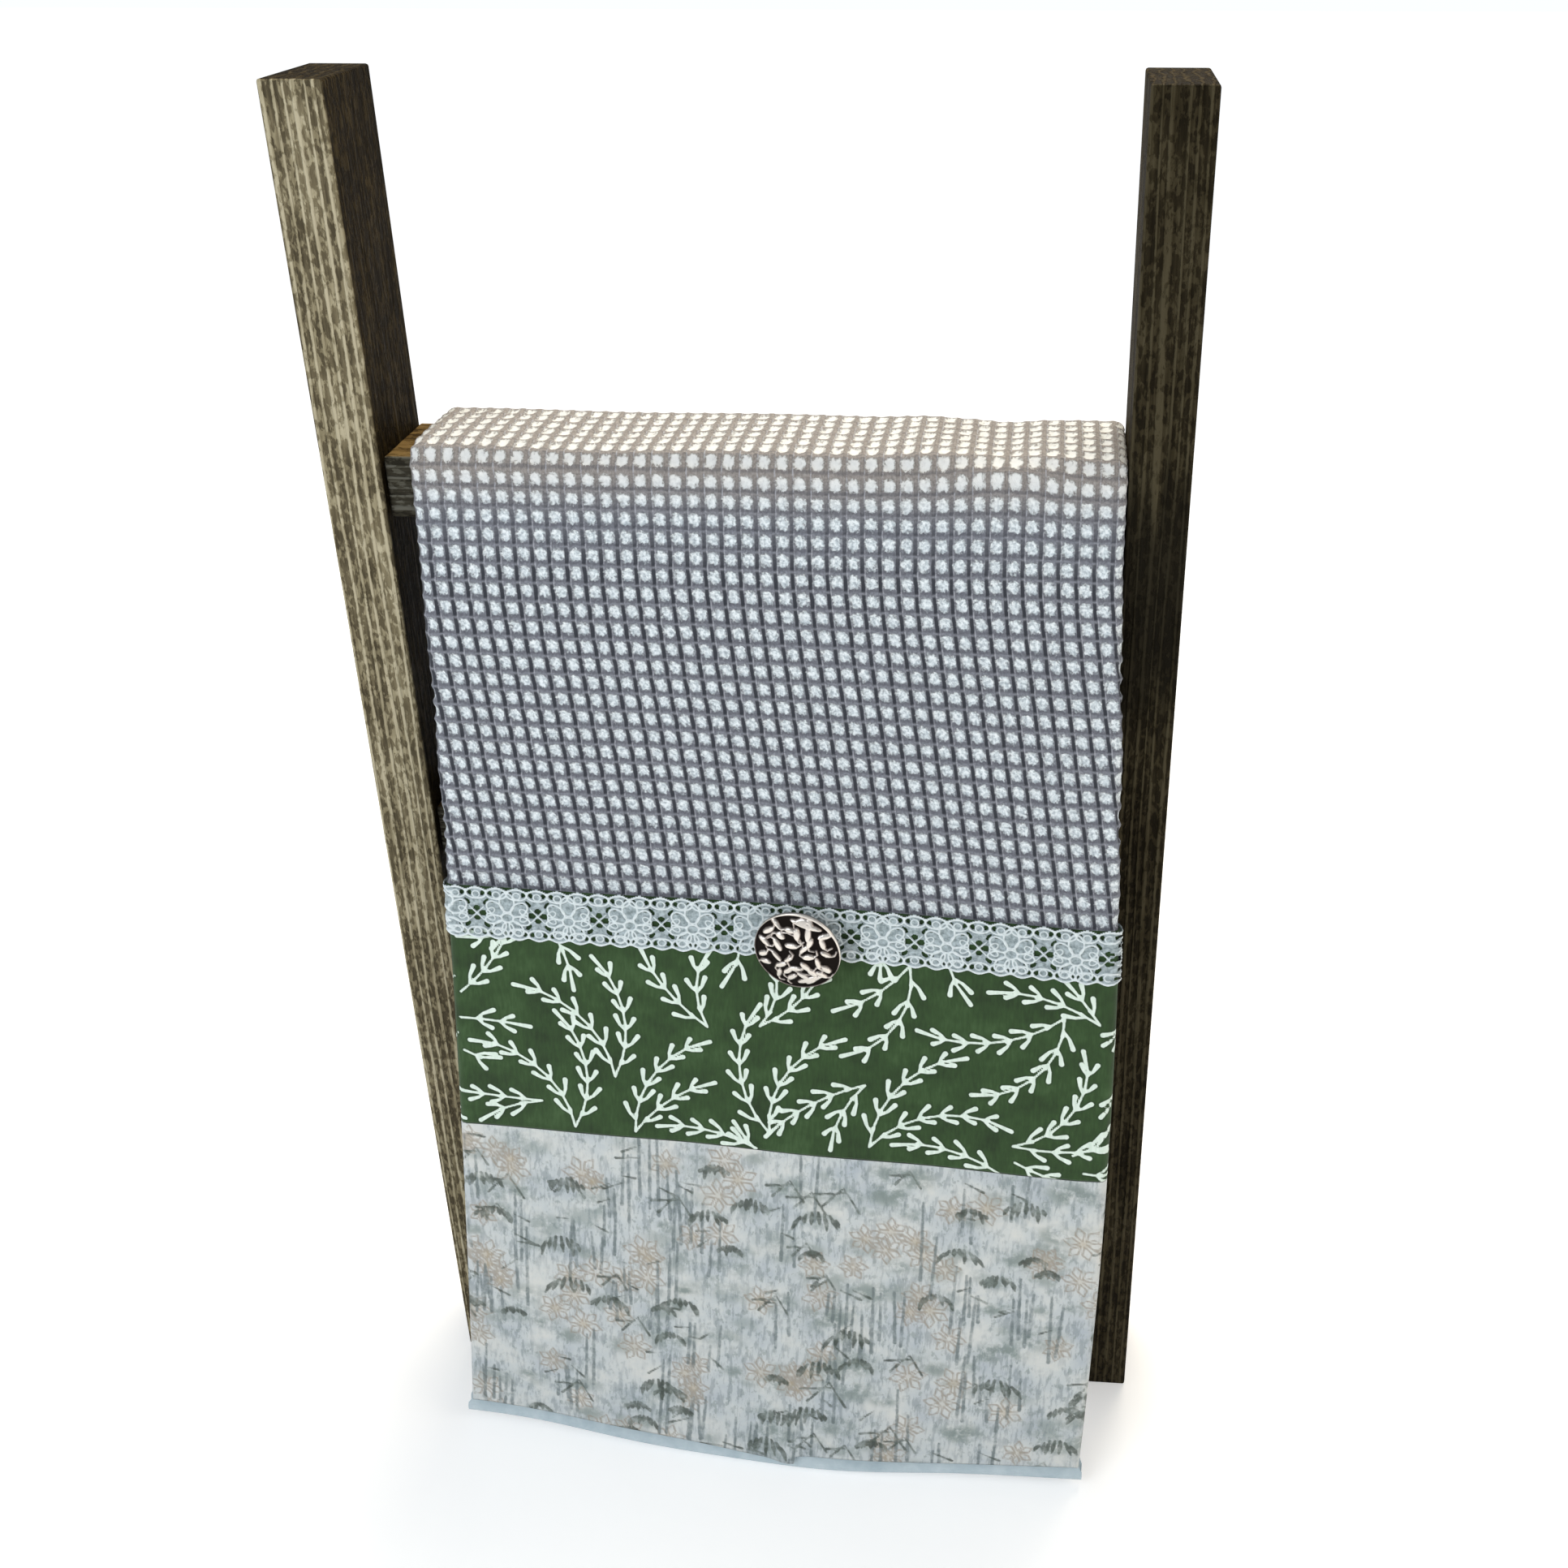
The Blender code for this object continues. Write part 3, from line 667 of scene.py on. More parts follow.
def ridges(u, v):
    """Height of the waffle's ridges, 0 in the pits to 1 on the crests."""
    across = (0.5 + 0.5 * np.cos(math.tau * u)) ** 1.6
    down = (0.5 + 0.5 * np.cos(math.tau * v)) ** 1.6
    return np.maximum(across, down) + 0.25 * np.minimum(across, down)


def make_towel():
    columns = cloth_columns(200, 8, 16)
    front_end = s_at(LACE_BOTTOM)
    hem = -DRAPE_LENGTH
    back = np.arange(hem, FINE_WEAVE_START, CELL_DOWN / 3.5)
    front = np.arange(FINE_WEAVE_START, front_end, CELL_DOWN / 5.5)
    hidden = np.linspace(front_end + 0.006, s_at(HEM_HEIGHT) - 0.002, 8)
    s = np.concatenate([[hem, hem], back, front, hidden])[:, None]
    half = np.full_like(s, HALF_CLOTH)
    half[:3, 0] = [0.0006, 0.0017, 0.0023]
    s[:3, 0] = [hem, hem + 0.0001, hem + 0.0006]
    u, v = cell_fields(columns, s)
    flat = np.clip((s - hem - BACK_HEM) / 0.002, 0, 1) * (s < front_end)
    lift = (ridges(u, v) - 0.75) * RIDGE_HEIGHT * flat - 0.0002
    lift = lift + 0.0004 * bell(s, hem + BACK_HEM - 0.002, 0.001)
    points = settle(cloth_points(columns, s, 0.0, lift, half), s)
    # Painted light share: 0 on the top of the rung and 1 down the front; it sets the waffle's painted warm
    # top light, cool front light and how strongly its painted flank shadows show.
    on_front = np.clip((s + 0.002) / 0.035, 0.05, 0.97)
    wide = np.ones_like(u)
    fields = {"cell_u": u, "cell_v": v, "hem": (1 - flat) * wide, "painted_front_light": on_front * wide}
    faces = grid_faces(*points.shape[:2])
    made = add_mesh("towel_cloth", points, faces, waffle_cotton(), fields)
    return place(made, "towel", "waffle_cotton", "waffle_towel")


# ---- the printed strips ----


def strip_grid(columns, top, low_front, low_back, step):
    """Heights of a strip's rows. Its back may hang lower than its front."""
    count = int((top - low_front) / step) + 1
    share = np.linspace(0, 1, count)[:, None]
    behind = (1 - columns[4][None, :]) / 2
    low = low_front + (low_back - low_front) * behind
    return top + (low - top) * share


def flat_axes(columns, heights):
    """The flat cloth's places across and the heights of its front's middle."""
    return columns[5], heights[:, heights.shape[1] // 2]


def make_strip(name, columns, heights, offset, finish, fields, slot, node, lift=0.0):
    """A strip wrapped round the flap, whose lower edge is turned in on itself."""
    s = s_at(heights)
    points = settle(cloth_points(columns, s, offset, lift), s)
    turned = settle(cloth_points(columns, s[-1:] - 0.0008, offset - 0.00045), s[-1:])
    points = np.concatenate([points, turned])
    across = np.broadcast_to(columns[5][None, :], heights.shape)
    fields = {"cloth_x": across, "cloth_z": heights, **fields}
    fields = {key: np.concatenate([values, values[-1:]]) for key, values in fields.items()}
    made = add_mesh(name, points, grid_faces(*points.shape[:2]), finish, fields)
    return place(made, "towel", slot, node)


NODE_PITCH = 0.0076
LEAF_LENGTH = 0.0063
SPRIG_REPEAT = 0.236


def draw_leaf(drawing, node, angle, side, length):
    """A club-shaped leaf that parts from the stem before the node and curves back beside it."""
    base = node - heading(angle, length * 0.30)
    bend = base + heading(angle + side * 0.72, length * 0.50)
    tip = bend + heading(angle + side * 0.42, length * 0.58)
    drawing.stroke(base, bend, 0.00048, 0.00060)
    drawing.stroke(bend, tip, 0.00060, 0.00096)


def draw_branch(drawing, root, angle, length, bend, inner):
    """One leafy branch: a curved stem with pairs of leaves and a longer leaf at its tip.

    inner is the side that faces the sprig's other branch, where the first leaf is missing.
    """
    stations = max(1, round(length / NODE_PITCH) - 1)
    step = length / (stations + 1.15)
    point = np.array(root, float)
    for number in range(stations):
        turn = angle + bend * (number + 0.5) / (stations + 1)
        node = point + heading(turn, step)
        drawing.stroke(point, node, 0.00050, 0.00040)
        drawing.stroke(node - heading(turn, step * 0.36), node, 0.00040, 0.00078)
        leaf = LEAF_LENGTH * (1.04 - 0.34 * number / stations)
        for side in (-1, 1):
            if number or side != inner:
                draw_leaf(drawing, node, turn, side, leaf * (1 + 0.10 * side * (-1) ** number))
        point = node
    turn = angle + bend
    drawing.stroke(point, point + heading(turn, step * 1.15), 0.00042, 0.00088)


# Branches of the green print: root x and height above the seam in millimetres, heading in degrees, length,
# bend, and the side of the sprig's other branch: 1 left, -1 right, 0 where there is none.
BRANCHES = (
    (-73, 2.5, 98, 55, 78, -1), (-73, 2.5, 62, 52, 68, 1),
    (-58, 25, 98, 54, 72, -1), (-58, 25, 65, 52, 64, 1),
    (-51, 2.5, 92, 52, -70, -1), (-51, 2.5, 58, 38, -36, 1),
    (-24.5, 48.5, 145, 38, -32, -1), (-24.5, 48.5, 118, 33, -58, 1),
    (-2.5, 7.5, 132, 56, -74, -1), (-2.5, 7.5, 96, 52, -76, 1),
    (-6, 50.5, 27, 36, 42, 1), (-6, 50.5, 50, 36, 75, -1),
    (-85, 12.5, 180, 32, -6, 1), (-85, 12.5, 190, 26, 26, -1),
    (-113, 55.5, 42, 36, 26, 0), (-92, 82, 208, 22, -30, 0),
    (-78, 81.5, 296, 23, -18, 0), (-114, 45, 1, 26, -8, 0),
    (-113, 31.5, -35, 14, 40, 0), (-12, 82.5, 262, 19, -22, 0),
    (-7, 0.5, 155, 37, 32, 0), (-7, -0.5, 132, 14, -8, 0),
    (46, 78.5, 236, 34, -34, 1), (46, 78.5, 280, 49, -80, -1),
    (99, 64, 222, 54, -58, 1), (99, 64, 272, 51, -86, -1),
    (83, 11.5, 15, 52, 88, -1), (83, 11.5, -8, 33, 22, 1),
    (33, 5.5, 86, 55, -70, -1), (33, 5.5, 52, 55, -74, 1),
    (31, 30, 198, 43, 32, 1), (31, 30, 228, 30, 34, -1),
    (80, -1, 146, 41, 42, 0), (104, 10, 14, 18, 45, 0),
    (111, 62.5, 146, 40, 40, -1), (111, 62.5, 122, 20, 10, 1),
    (59, 80.5, 285, 17, 20, 0), (36, 82, 268, 10, 0, 0),
    (121, 61.5, 218, 11, 0, 0), (121, 38.5, 242, 15, -8, 0),
    (84, 5, -28, 20, 16, 0), (108, 3, -8, 14, 6, 0),
)


def sprig_field(columns, heights):
    """Distances to the sprigs, which repeat across the unfolded cloth."""
    drawing = Drawing(*flat_axes(columns, heights))
    for repeat in (-1, 0, 1):
        for x, z, angle, length, bend, inner in BRANCHES:
            root = (x * MM + repeat * SPRIG_REPEAT, BORDER_TOP + z * MM)
            draw_branch(drawing, root, math.radians(angle), length * MM, math.radians(bend), inner)
    return drawing.field


def make_green_band():
    columns = cloth_columns(380, 6, 70)
    heights = strip_grid(columns, BAND_TOP, BORDER_TOP, BORDER_TOP, 0.00066)
    fields = {"ink": sprig_field(columns, heights)}
    return make_strip("green_strip", columns, heights, 0.0005, green_print(), fields, "green_print",
                      "green_band")


def draw_star(star, centre, size, turn):
    """A flower of six pointed petals, each drawn as two lines."""
    for petal in range(6):
        angle = turn + petal * math.tau / 6
        near = centre + heading(angle, size * 0.16)
        far = centre + heading(angle, size)
        for side in (-0.36, 0.36):
            wide = centre + heading(angle + side, size * 0.66)
            star.stroke(near, wide, 0.00026, 0.00034)
            star.stroke(wide, far, 0.00034, 0.00020)


def draw_umbrella(leaf, crown, size):
    """Bamboo leaves that droop from a short arched twig."""
    for number in range(7):
        share = (number - 3) / 3
        start = crown + (share * size * 0.8, -share * share * size * 0.35)
        angle = math.radians(-90 + share * 30) + random.uniform(-0.25, 0.25)
        length = size * random.uniform(0.35, 1.0)
        middle = start + heading(angle, length * 0.55)
        leaf.stroke(start, middle, 0.00045, 0.00085)
        leaf.stroke(middle, middle + heading(angle - 0.2 * share, length * 0.45), 0.00085, 0.00025)


def draw_twig(leaf, top, size):
    """Two legs with a slanting bar between them."""
    left, right = top + size * np.array([-0.62, -0.72]), top + size * np.array([0.50, -0.85])
    leaf.stroke(top, left, 0.00022, 0.00050)
    leaf.stroke(top, right, 0.00022, 0.00040)
    bar = top + size * np.array([-0.85, -0.30])
    leaf.stroke(bar, bar + size * np.array([0.90, 0.12]), 0.00050, 0.00024)


def draw_bamboo(stalk, leaf, foot, tall):
    """Upright canes of different heights, with a slanting twig or two."""
    for shift in (0, random.uniform(0.0020, 0.0050)):
        base = foot + (shift, random.uniform(-0.004, 0.004))
        top = base + (random.uniform(-0.0014, 0.0014), tall * random.uniform(0.5, 1.0))
        stalk.stroke(base, top, 0.00062, 0.00040)
    for _ in range(random.integers(0, 3)):
        at = foot + (0, tall * random.uniform(0.3, 0.9))
        angle = math.radians(random.choice((205, 222, 318, 335, 186, 354)))
        end = at + heading(angle, random.uniform(0.004, 0.009))
        leaf.stroke(at, end, 0.00020, 0.00046)


STAR_SHARE = 0.60
CANE_PAIRS = 150
TUFTS = 430
UMBRELLA_SHARE = 0.22
TWIG_SHARE = 0.14


def bamboo_fields(columns, heights):
    """Distances to the leaves, stalks and star flowers, and how strong the soft colours are."""
    across, up = flat_axes(columns, heights)
    leaf, stalk, star = (Drawing(across, up) for _ in range(3))
    x, z = np.meshgrid(across, up)
    gold, bloom, wash = (np.zeros_like(x) for _ in range(3))
    for row in range(7):
        for column in range(-10, 11):
            if random.random() > STAR_SHARE:
                continue
            middle = np.array([column * 0.0225 + row % 2 * 0.0112, 0.012 + row * 0.0190])
            for _ in range(random.integers(1, 4)):
                centre = middle + random.uniform(-0.009, 0.009, 2)
                size = random.uniform(0.0056, 0.0078)
                draw_star(star, centre, size, random.uniform(0, 1))
                near = np.exp(-((x - centre[0]) ** 2 + (z - centre[1]) ** 2) / (size * 0.85) ** 2)
                bloom = np.maximum(bloom, near)
                gold = np.maximum(gold, near**14 * random.uniform(0.1, 1.0))
    for _ in range(CANE_PAIRS):
        foot = np.array([random.uniform(-0.23, 0.23), random.uniform(-0.01, 0.120)])
        draw_bamboo(stalk, leaf, foot, random.uniform(0.016, 0.042))
    for _ in range(TUFTS):
        crown = np.array([random.uniform(-0.23, 0.23), random.uniform(0.004, 0.140)])
        kind = random.random()
        if kind < UMBRELLA_SHARE:
            draw_umbrella(leaf, crown, random.uniform(0.0040, 0.0080))
        elif kind < UMBRELLA_SHARE + TWIG_SHARE:
            draw_twig(leaf, crown, random.uniform(0.0070, 0.0130))
        wide = random.uniform(0.003, 0.010)
        shape = ((x - crown[0]) / wide) ** 2 + ((z - crown[1] + 0.003) / (wide * 0.55)) ** 2
        wash = np.maximum(wash, np.exp(-(shape**2)) * random.uniform(0.4, 1.0))
    return {"leaf": leaf.field, "stalk": stalk.field, "star": star.field, "gold": gold, "bloom": bloom,
            "wash": wash}


def make_border():
    """The printed border, whose hem has a notch and a small curl beside it."""
    columns = cloth_columns(400, 6, 50)
    heights = strip_grid(columns, BORDER_TOP - 0.0002, HEM_HEIGHT, WING_HEIGHT, 0.00075)
    fields = bamboo_fields(columns, heights)
    low = np.linspace(0, 1, len(heights))[:, None] ** 12 * (columns[4] > 0.5)
    past = columns[5] - HEM_NOTCH_X
    hung = heights - low * bell(past, 0, 0.030) * np.where(past < 0, 0.0028, -0.0005)
    curl = 0.0016 * low * bell(past, -0.003, 0.005)
    return make_strip("bamboo_strip", columns, hung, 0.0005, bamboo_print(), fields, "bamboo_print",
                      "bamboo_border", curl)


# ---- the lace ----

LACE_REPEAT = 0.0218
LACE_CORD = 0.00034


def draw_lace(cord, hole, left):
    """One repeat of the lace, from the left of one open cross to the next."""
    high, low = LACE_TOP - 0.0008, LACE_BOTTOM + 0.0008
    middle = (high + low) / 2 - 0.0002
    flower = np.array([left + LACE_REPEAT / 2, middle - 0.0012])
    cord.ellipse(flower, (0.0021, 0.0017), 0, LACE_CORD)
    for rise, reach, long, wide in ((90, 0.0058, 0.0036, 0.0026), (38, 0.0054, 0.0034, 0.0023),
                                    (-10, 0.0050, 0.0030, 0.0016), (-52, 0.0050, 0.0031, 0.0021),
                                    (-90, 0.0046, 0.0028, 0.0021)):
        for turn in (math.radians(rise), math.pi - math.radians(rise)):
            cord.ellipse(flower + heading(turn, reach), (long, wide), turn, LACE_CORD)
    for shift in range(3):
        centre_x = left + LACE_REPEAT * shift / 3
        for height, sign in ((high - 0.0019, 1), (low + 0.0019, -1)):
            cord.ellipse((centre_x, height), (0.0036, 0.0020), 0, LACE_CORD)
            cord.ellipse((centre_x, height - sign * 0.0004), (0.0013, 0.0012), 0, LACE_CORD * 0.8)
            for side in (-1, 1):
                hole.ellipse((centre_x + side * 0.0023, height + sign * 0.0001), (0.0012, 0.0008),
                             side * sign * 0.9)
    cross = np.array([left, middle])
    arm = 0.0036 / math.sqrt(2)
    for side in (-1, 1):
        hole.ellipse(cross + (side * 0.0024, 0), (0.0017, 0.0011), 0)
        hole.ellipse(cross + (0, side * 0.0019), (0.0012, 0.0010), 0)
        for up in (-1, 1):
            turn = side * up
            cord.stroke(cross, cross + (side * arm, up * arm), LACE_CORD * 0.7, LACE_CORD * 0.7)
            hole.ellipse(cross + (side * 0.0034, up * 0.0044), (0.0014, 0.0008), turn * 0.8)
            hole.ellipse(cross + (side * 0.0058, up * 0.0046), (0.0009, 0.0006), turn * 0.2)
            cord.ellipse(cross + (side * 0.0050, up * 0.0012), (0.0016, 0.0010), turn * 0.6, LACE_CORD * 0.8)


def make_lace():
    columns = cloth_columns(900, 8, 80)
    heights = strip_grid(columns, LACE_TOP, LACE_BOTTOM, LACE_BOTTOM, 0.00030)
    across, up = flat_axes(columns, heights)
    cord, hole = Drawing(across, up), Drawing(across, up)
    for number in range(-11, 12):
        draw_lace(cord, hole, number * LACE_REPEAT + 0.004)
    scallop = 0.0011 * np.abs(np.cos(math.pi * (across - 0.004) / (LACE_REPEAT / 3))) ** 1.5
    above = up[:, None] - (LACE_TOP - 0.0012 + scallop)
    below = (LACE_BOTTOM + 0.0012 - scallop) - up[:, None]
    over = np.maximum(above, below)
    edge = np.abs(over + 0.0004) - LACE_CORD * 1.2
    cord_field = np.minimum(cord.field, edge)
    solid = np.minimum(np.maximum(hole.field, 0.0001 - cord_field), -over)
    keep = solid[:-1, :-1] + solid[1:, :-1] + solid[1:, 1:] + solid[:-1, 1:] > 0
    lift = 0.00045 * np.clip(-cord_field / LACE_CORD + 0.3, 0, 1) ** 0.7
    points = settle(cloth_points(columns, s_at(heights), 0.0012, lift), s_at(heights))
    faces = grid_faces(*points.shape[:2], keep)
    fields = {"cord": cord_field, "cloth_x": np.broadcast_to(across, heights.shape), "cloth_z": heights}
    points, faces, fields = used_only(points, faces, fields)
    made = add_mesh("lace_strip", points, faces, lace_cotton(), fields)
    return place(made, "towel", "lace_cotton", "lace_trim")


# ---- the lining ----


def make_lining():
    """The strip whose soft rolled edge shows below the hem."""
    across = np.linspace(0, 1, 161)
    profile = [(-0.0006, 0.0405), (-0.0006, 0.0120), (-0.0010, 0.0074), (-0.0021, 0.0050), (-0.0024, 0.0030),
               (-0.0019, 0.0013), (-0.0006, 0.0006), (0.0008, 0.0008), (0.0014, 0.0020), (0.0012, 0.0060),
               (0.0006, 0.0120), (0.0006, 0.0405)]
    rows = []
    for depth, height in profile:
        s = s_at(np.full(across.shape, height) + 0.0007 * waves(across * 0.24, 0, 9, 0.11) * (height < 0.007))
        left, right = edges_at(s / FLAP_LENGTH)
        grow = 0.0016 if height < 0.007 else -0.0004
        x = left - grow + (right - left + 2 * grow) * across
        y, z, out_y, out_z = frame_at(x, s)
        z = np.maximum(z - out_z * depth, 0.0006)
        rows.append(settle(np.stack([x, y - out_y * depth + RACK_FRONT_Y, z], axis=-1), s))
    points = np.array(rows)
    made = add_mesh("lining_strip", points, grid_faces(*points.shape[:2]), lining_cotton())
    return place(made, "towel", "lining_cotton", "hem_lining")


# ---- the button ----

RIM_BRIGHT = math.radians(62)
RELIEF_LEAVES = 33
SPREAD_LEAVES = 22


def button_place():
    """Local +Z faces out of the cloth, and the origin is the middle of the button's back."""
    s = np.array(s_at(BUTTON_HEIGHT))
    x = float(sum(edges_at(s / FLAP_LENGTH)) / 2 + BUTTON_X)
    y, z, out_y, out_z = (float(value) for value in frame_at(np.array(x), s))
    out, side = Vector((0, out_y, out_z)), Vector((1, 0, 0))
    turned = Matrix((side, out.cross(side), out)).transposed().to_4x4()
    lean = Matrix.Rotation(math.radians(BUTTON_LEAN), 4, Vector((1, -1, 0)))
    origin = Vector((x, y + RACK_FRONT_Y, z)) + out * BUTTON_STAND
    return Matrix.Translation(origin) @ turned @ lean


def button_relief():
    """Distances to the raised leaves and vines on the button's face, on a square grid."""
    line = np.linspace(-0.016, 0.016, 320)
    face = Drawing(line, line)
    leaves = np.random.default_rng(31)
    centres = []
    while len(centres) < RELIEF_LEAVES:
        spot = leaves.uniform(-0.0125, 0.0125, 2)
        apart = 0.0033 if len(centres) < SPREAD_LEAVES else 0.0027
        if np.hypot(*spot) < 0.0124 and all(np.hypot(*(spot - other)) > apart for other in centres):
            centres.append(spot)
    for spot in centres:
        angle = leaves.uniform(0, math.tau)
        long, wide = leaves.uniform(0.0018, 0.0028), leaves.uniform(0.00085, 0.00125)
        face.ellipse(spot, (long, wide), angle)
        tip = spot + heading(angle, long * 0.8)
        curl = [tip, tip + heading(angle + 0.6, 0.0014), tip + heading(angle + 1.2, 0.0026)]
        face.path(curl, 0.00044, 0.00028)
    for start in (0.4, 3.4):
        vine = [heading(start + k * 0.30, 0.0022 + 0.0012 * k) for k in range(9)]
        face.path(vine, 0.00040, 0.00026)
    # Painted highlight: a smooth raised crescent near the upper rim, which the pewter colours bright; a
    # second crescent sits near the lower rim.
    face.ellipse((0.0034, 0.0108), (0.0056, 0.0011), -0.30)
    face.ellipse((0.0040, -0.0106), (0.0046, 0.0013), 0.36)
    return line, face.field


def make_button():
    line, field = button_relief()
    rings, sides = 64, 200
    radius = np.linspace(0, 1, rings) ** 0.9 * BUTTON_RADIUS
    turn = np.linspace(0, math.tau, sides, endpoint=False)
    r, a = np.meshgrid(radius, turn, indexing="ij")
    x, y = r * np.cos(a), r * np.sin(a)
    step = line[1] - line[0]
    column = np.clip(((x - line[0]) / step).astype(int), 0, len(line) - 1)
    row = np.clip(((y - line[0]) / step).astype(int), 0, len(line) - 1)
    # Painted highlight: the rim is raised and coloured bright in a crescent that is widest towards
    # RIM_BRIGHT.
    rim_width = 0.00015 + 0.00100 * np.maximum(np.cos(a - RIM_BRIGHT), 0)
    gap = np.minimum(field[row, column], BUTTON_RADIUS - rim_width - r)
    raised = np.clip(-gap / 0.00062 + 0.30, 0, 1) ** 0.75
    dome = 0.0016 + 0.0042 * (np.cos(1.2 * r / BUTTON_RADIUS) - math.cos(1.2))
    z = dome - 0.0009 * (1 - raised)
    points = [np.stack([x, y, z], axis=-1)]
    marks = [raised]
    for share, height in ((1.0, 0.0006), (0.95, 0.0), (0.55, 0.0001), (0.0, 0.0001)):
        ring = BUTTON_RADIUS * share
        circle = [ring * np.cos(turn), ring * np.sin(turn), np.full(sides, height)]
        points.append(np.stack(circle, axis=-1)[None])
        marks.append(np.full((1, sides), 0.55))
    points, marks = np.concatenate(points), np.concatenate(marks)
    points = np.concatenate([points, points[:, :1]], axis=1)
    marks = np.concatenate([marks, marks[:, :1]], axis=1)
    faces = grid_faces(*points.shape[:2])
    body, faces, fields = weld(points.reshape(-1, 3), faces, {"raised": marks})
    loop, loop_faces = shank()
    faces = np.concatenate([faces, loop_faces + len(body)])
    body = np.concatenate([body, loop])
    fields["raised"] = np.concatenate([fields["raised"], np.full(len(loop), 0.5)])
    made = add_mesh("pewter_button", body, faces, antique_pewter(), fields)
    made.matrix_world = button_place()
    return place(made, "button", "antique_pewter", "button")


def weld(points, faces, fields):
    """Makes points in the same place one, and drops the corners that repeat."""
    _, first, index = np.unique(np.round(points / 1e-7).astype(np.int64), axis=0, return_index=True,
                                return_inverse=True)
    faces = index.reshape(-1)[faces]
    triangles = np.concatenate([faces[:, [0, 1, 2]], faces[:, [0, 2, 3]]])
    whole = (triangles[:, 0] != triangles[:, 1]) & (triangles[:, 1] != triangles[:, 2])
    whole &= triangles[:, 0] != triangles[:, 2]
    fields = {key: values.reshape(-1)[first] for key, values in fields.items()}
    return points[first], triangles[whole], fields


def tube(centres, radius, sides=12, normal=(0, 1, 0)):
    """A round closed tube along a loop of points. normal is square to the loop's plane."""
    centres = np.asarray(centres)
    along = np.roll(centres, -1, axis=0) - np.roll(centres, 1, axis=0)
    along /= np.linalg.norm(along, axis=1)[:, None]
    across = np.broadcast_to(np.array(normal, float), along.shape)
    out = np.cross(along, across)
    turn = np.linspace(0, math.tau, sides, endpoint=False)[None, :, None]
    points = centres[:, None] + radius * (np.cos(turn) * out[:, None] + np.sin(turn) * across[:, None])
    index = np.arange(len(centres) * sides).reshape(len(centres), sides)
    after = np.roll(index, -1, axis=0)
    faces = np.stack([index, np.roll(index, -1, axis=1), np.roll(after, -1, axis=1), after], axis=-1)
    faces = faces.reshape(-1, 4)
    return points.reshape(-1, 3), np.concatenate([faces[:, [0, 1, 2]], faces[:, [0, 2, 3]]])


def shank():
    """The wire loop on the button's back."""
    turn = np.linspace(0, math.tau, 40, endpoint=False)
    centres = np.stack([0.0019 * np.cos(turn), np.zeros(40), -0.0016 + 0.0015 * np.sin(turn)], axis=-1)
    return tube(centres, 0.00055)


def make_thread():
    """Three turns of thread through the shank."""
    points, faces = [], []
    for shift in (-0.00028, 0.0, 0.00028):
        turn = np.linspace(0, math.tau, 32, endpoint=False)
        centres = [np.full(32, shift), 0.0013 * np.cos(turn), -0.0035 + 0.0013 * np.sin(turn)]
        ring, ring_faces = tube(np.stack(centres, axis=-1), 0.00016, 8, (1, 0, 0))
        faces.append(ring_faces + sum(len(part) for part in points))
        points.append(ring)
    made = add_mesh("button_stitches", np.concatenate(points), np.concatenate(faces), sewing_thread())
    made.matrix_world = button_place()
    return place(made, "button", "sewing_thread", "button_thread")


# ---- the rack's finish ----


def finish_rack():
    # Painted shade: the rails' side faces are painted far darker than their fronts, as they are shaded.
    painted_side_shade = (0.058, 0.044, 0.020)
    right_front = (0.088, 0.077, 0.051)
    # Painted light: the rungs' fronts are painted cool grey and their other faces warm brown, the colours of
    # the cool front light and the warm top light.
    rung_front_cool_light, rung_side_warm_light = (0.155, 0.157, 0.148), (0.235, 0.160, 0.068)
    woods = {
        "rail_left": stained_wood("left_rail_wood", "z", 1, (0.62, 0.580, 0.465), painted_side_shade),
        "rail_right": stained_wood("right_rail_wood", "z", 2, right_front, painted_side_shade, [(0.345, 0.052, 0.72)]),
        "rung_bottom": stained_wood("bottom_rung_wood", "x", 3, rung_front_cool_light, rung_side_warm_light),
        "rung_middle": stained_wood("middle_rung_wood", "x", 4, rung_front_cool_light, rung_side_warm_light),
        "rung_top": stained_wood("top_rung_wood", "x", 5, rung_front_cool_light, rung_side_warm_light),
    }
    steel = zinc_steel()
    for name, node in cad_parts.items():
        finish = woods.get(name) or (steel if name.startswith("screw") else None)
        if finish:
            node.data.materials.clear()
            node.data.materials.append(finish)


# ---- the studio ----


def make_camera():
    data = bpy.data.cameras.new("camera")
    data.sensor_width = 36
    data.lens = 39.02
    data.shift_x, data.shift_y = -0.0797, -0.0497
    data.clip_start, data.clip_end = 0.01, 20
    made = bpy.data.objects.new("camera", data)
    right = Vector((0.99657836, 0.08252976, -0.00451809))
    up = Vector((-0.03366509, 0.45522744, 0.88973853))
    back = Vector((0.07548666, -0.88654206, 0.45644818))
    turned = Matrix((right, up, back)).transposed().to_4x4()
    made.matrix_world = Matrix.Translation((0.09103, -0.48479, 0.55655)) @ turned
    bpy.context.collection.objects.link(made)
    bpy.context.scene.camera = made


def area_light(name, location, target, size, power, colour):
    data = bpy.data.lights.new(name, "AREA")
    data.size, data.energy, data.color = size, power, colour
    made = bpy.data.objects.new(name, data)
    made.location = location
    made.rotation_euler = (Vector(target) - Vector(location)).to_track_quat("-Z", "Y").to_euler()
    bpy.context.collection.objects.link(made)


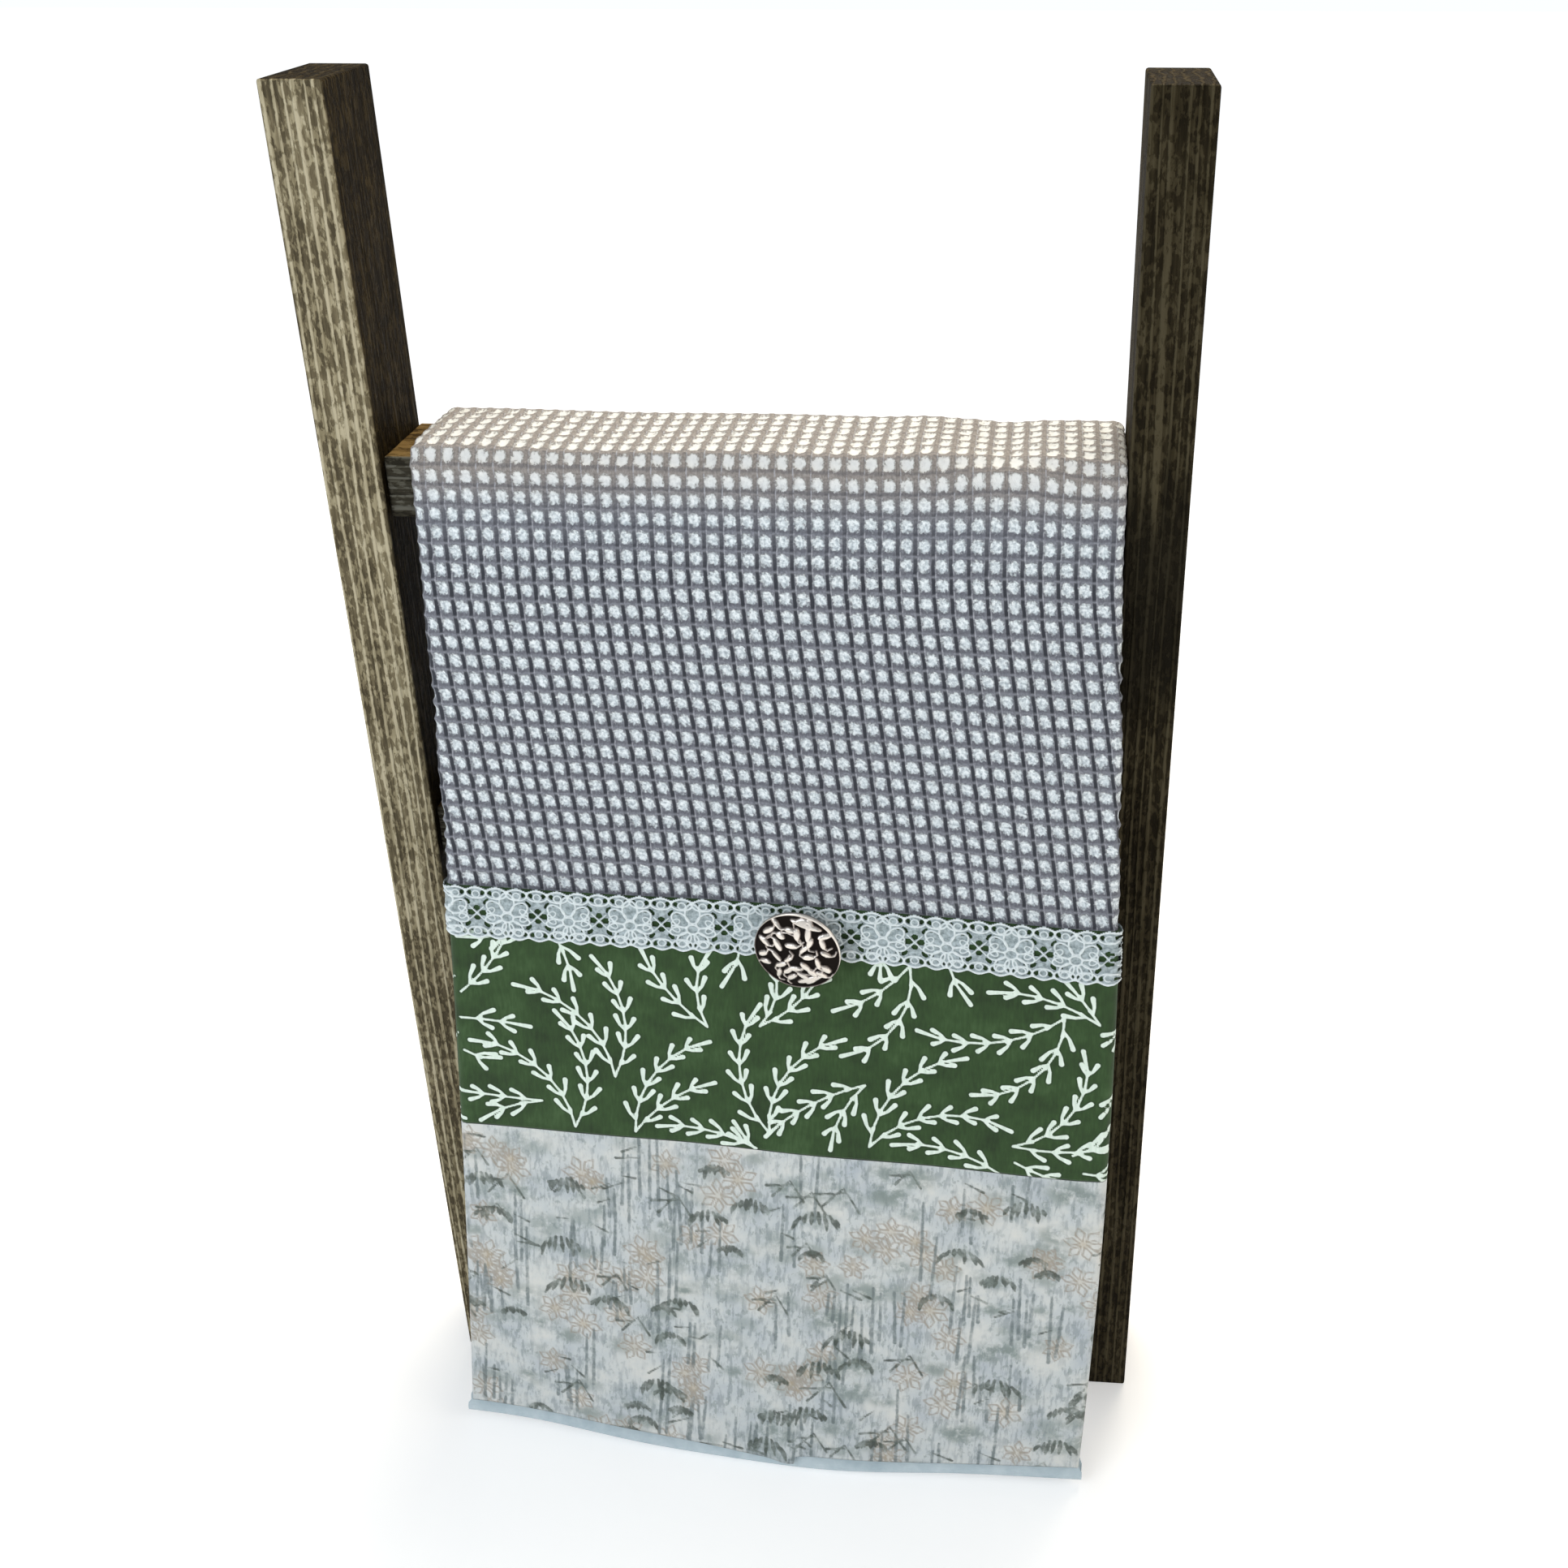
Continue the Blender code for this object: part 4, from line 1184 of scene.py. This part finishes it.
def make_world():
    """A pale studio that looks white and lights the object softly."""
    world = bpy.data.worlds.new("studio")
    world.use_nodes = True
    tree = world.node_tree
    background = tree.nodes["Background"]
    background.inputs["Color"].default_value = (0.93, 0.965, 1.0, 1)
    path = tree.nodes.new("ShaderNodeLightPath")
    strength = tree.nodes.new("ShaderNodeMapRange")
    strength.inputs["To Min"].default_value = 0.46
    strength.inputs["To Max"].default_value = 1.05
    tree.links.new(path.outputs["Is Camera Ray"], strength.inputs["Value"])
    tree.links.new(strength.outputs[0], background.inputs["Strength"])
    bpy.context.scene.world = world


def make_floor():
    reach = 6.0
    mesh = bpy.data.meshes.new("floor")
    mesh.from_pydata([(-reach, -reach, 0), (reach, -reach, 0), (reach, reach, 0), (-reach, reach, 0)], [],
                     [(0, 1, 2, 3)])
    made = bpy.data.objects.new("floor", mesh)
    bpy.context.collection.objects.link(made)
    paper = Nodes("floor_paper", roughness=0.95, Emission_Color=(1.0, 1.0, 1.0, 1.0))
    away = paper.add("VectorMath", {0: paper.place()}, output="Value", operation="LENGTH")
    glow = paper.step(away, 0.30, 1.10, 0.34, 0.66)
    paper.tree.links.new(glow, paper.shader.inputs["Emission Strength"])
    tone = paper.ramp(paper.noise(paper.place(), 6, 2), (0.3, (0.86, 0.86, 0.86)), (0.7, (0.88, 0.88, 0.88)))
    made.data.materials.append(paper.finish(tone))


def make_studio():
    bpy.context.scene.view_settings.view_transform = "Standard"
    make_world()
    make_floor()
    area_light("warm_top", (0.10, 0.42, 1.15), (0, 0.0, 0.35), 0.55, 10.5, (1.0, 0.89, 0.71))
    area_light("cool_front", (-0.52, -0.78, 0.84), (0, 0, 0.25), 0.6, 4.6, (0.87, 0.94, 1.0))
    area_light("right_side", (1.05, -0.35, 0.80), (0, 0, 0.25), 0.6, 2.2, (1.0, 0.87, 0.70))


def main():
    make_camera()
    make_studio()
    finish_rack()
    towel = make_towel()
    band, border, lace, lining = make_green_band(), make_border(), make_lace(), make_lining()
    make_button()
    make_thread()


main()
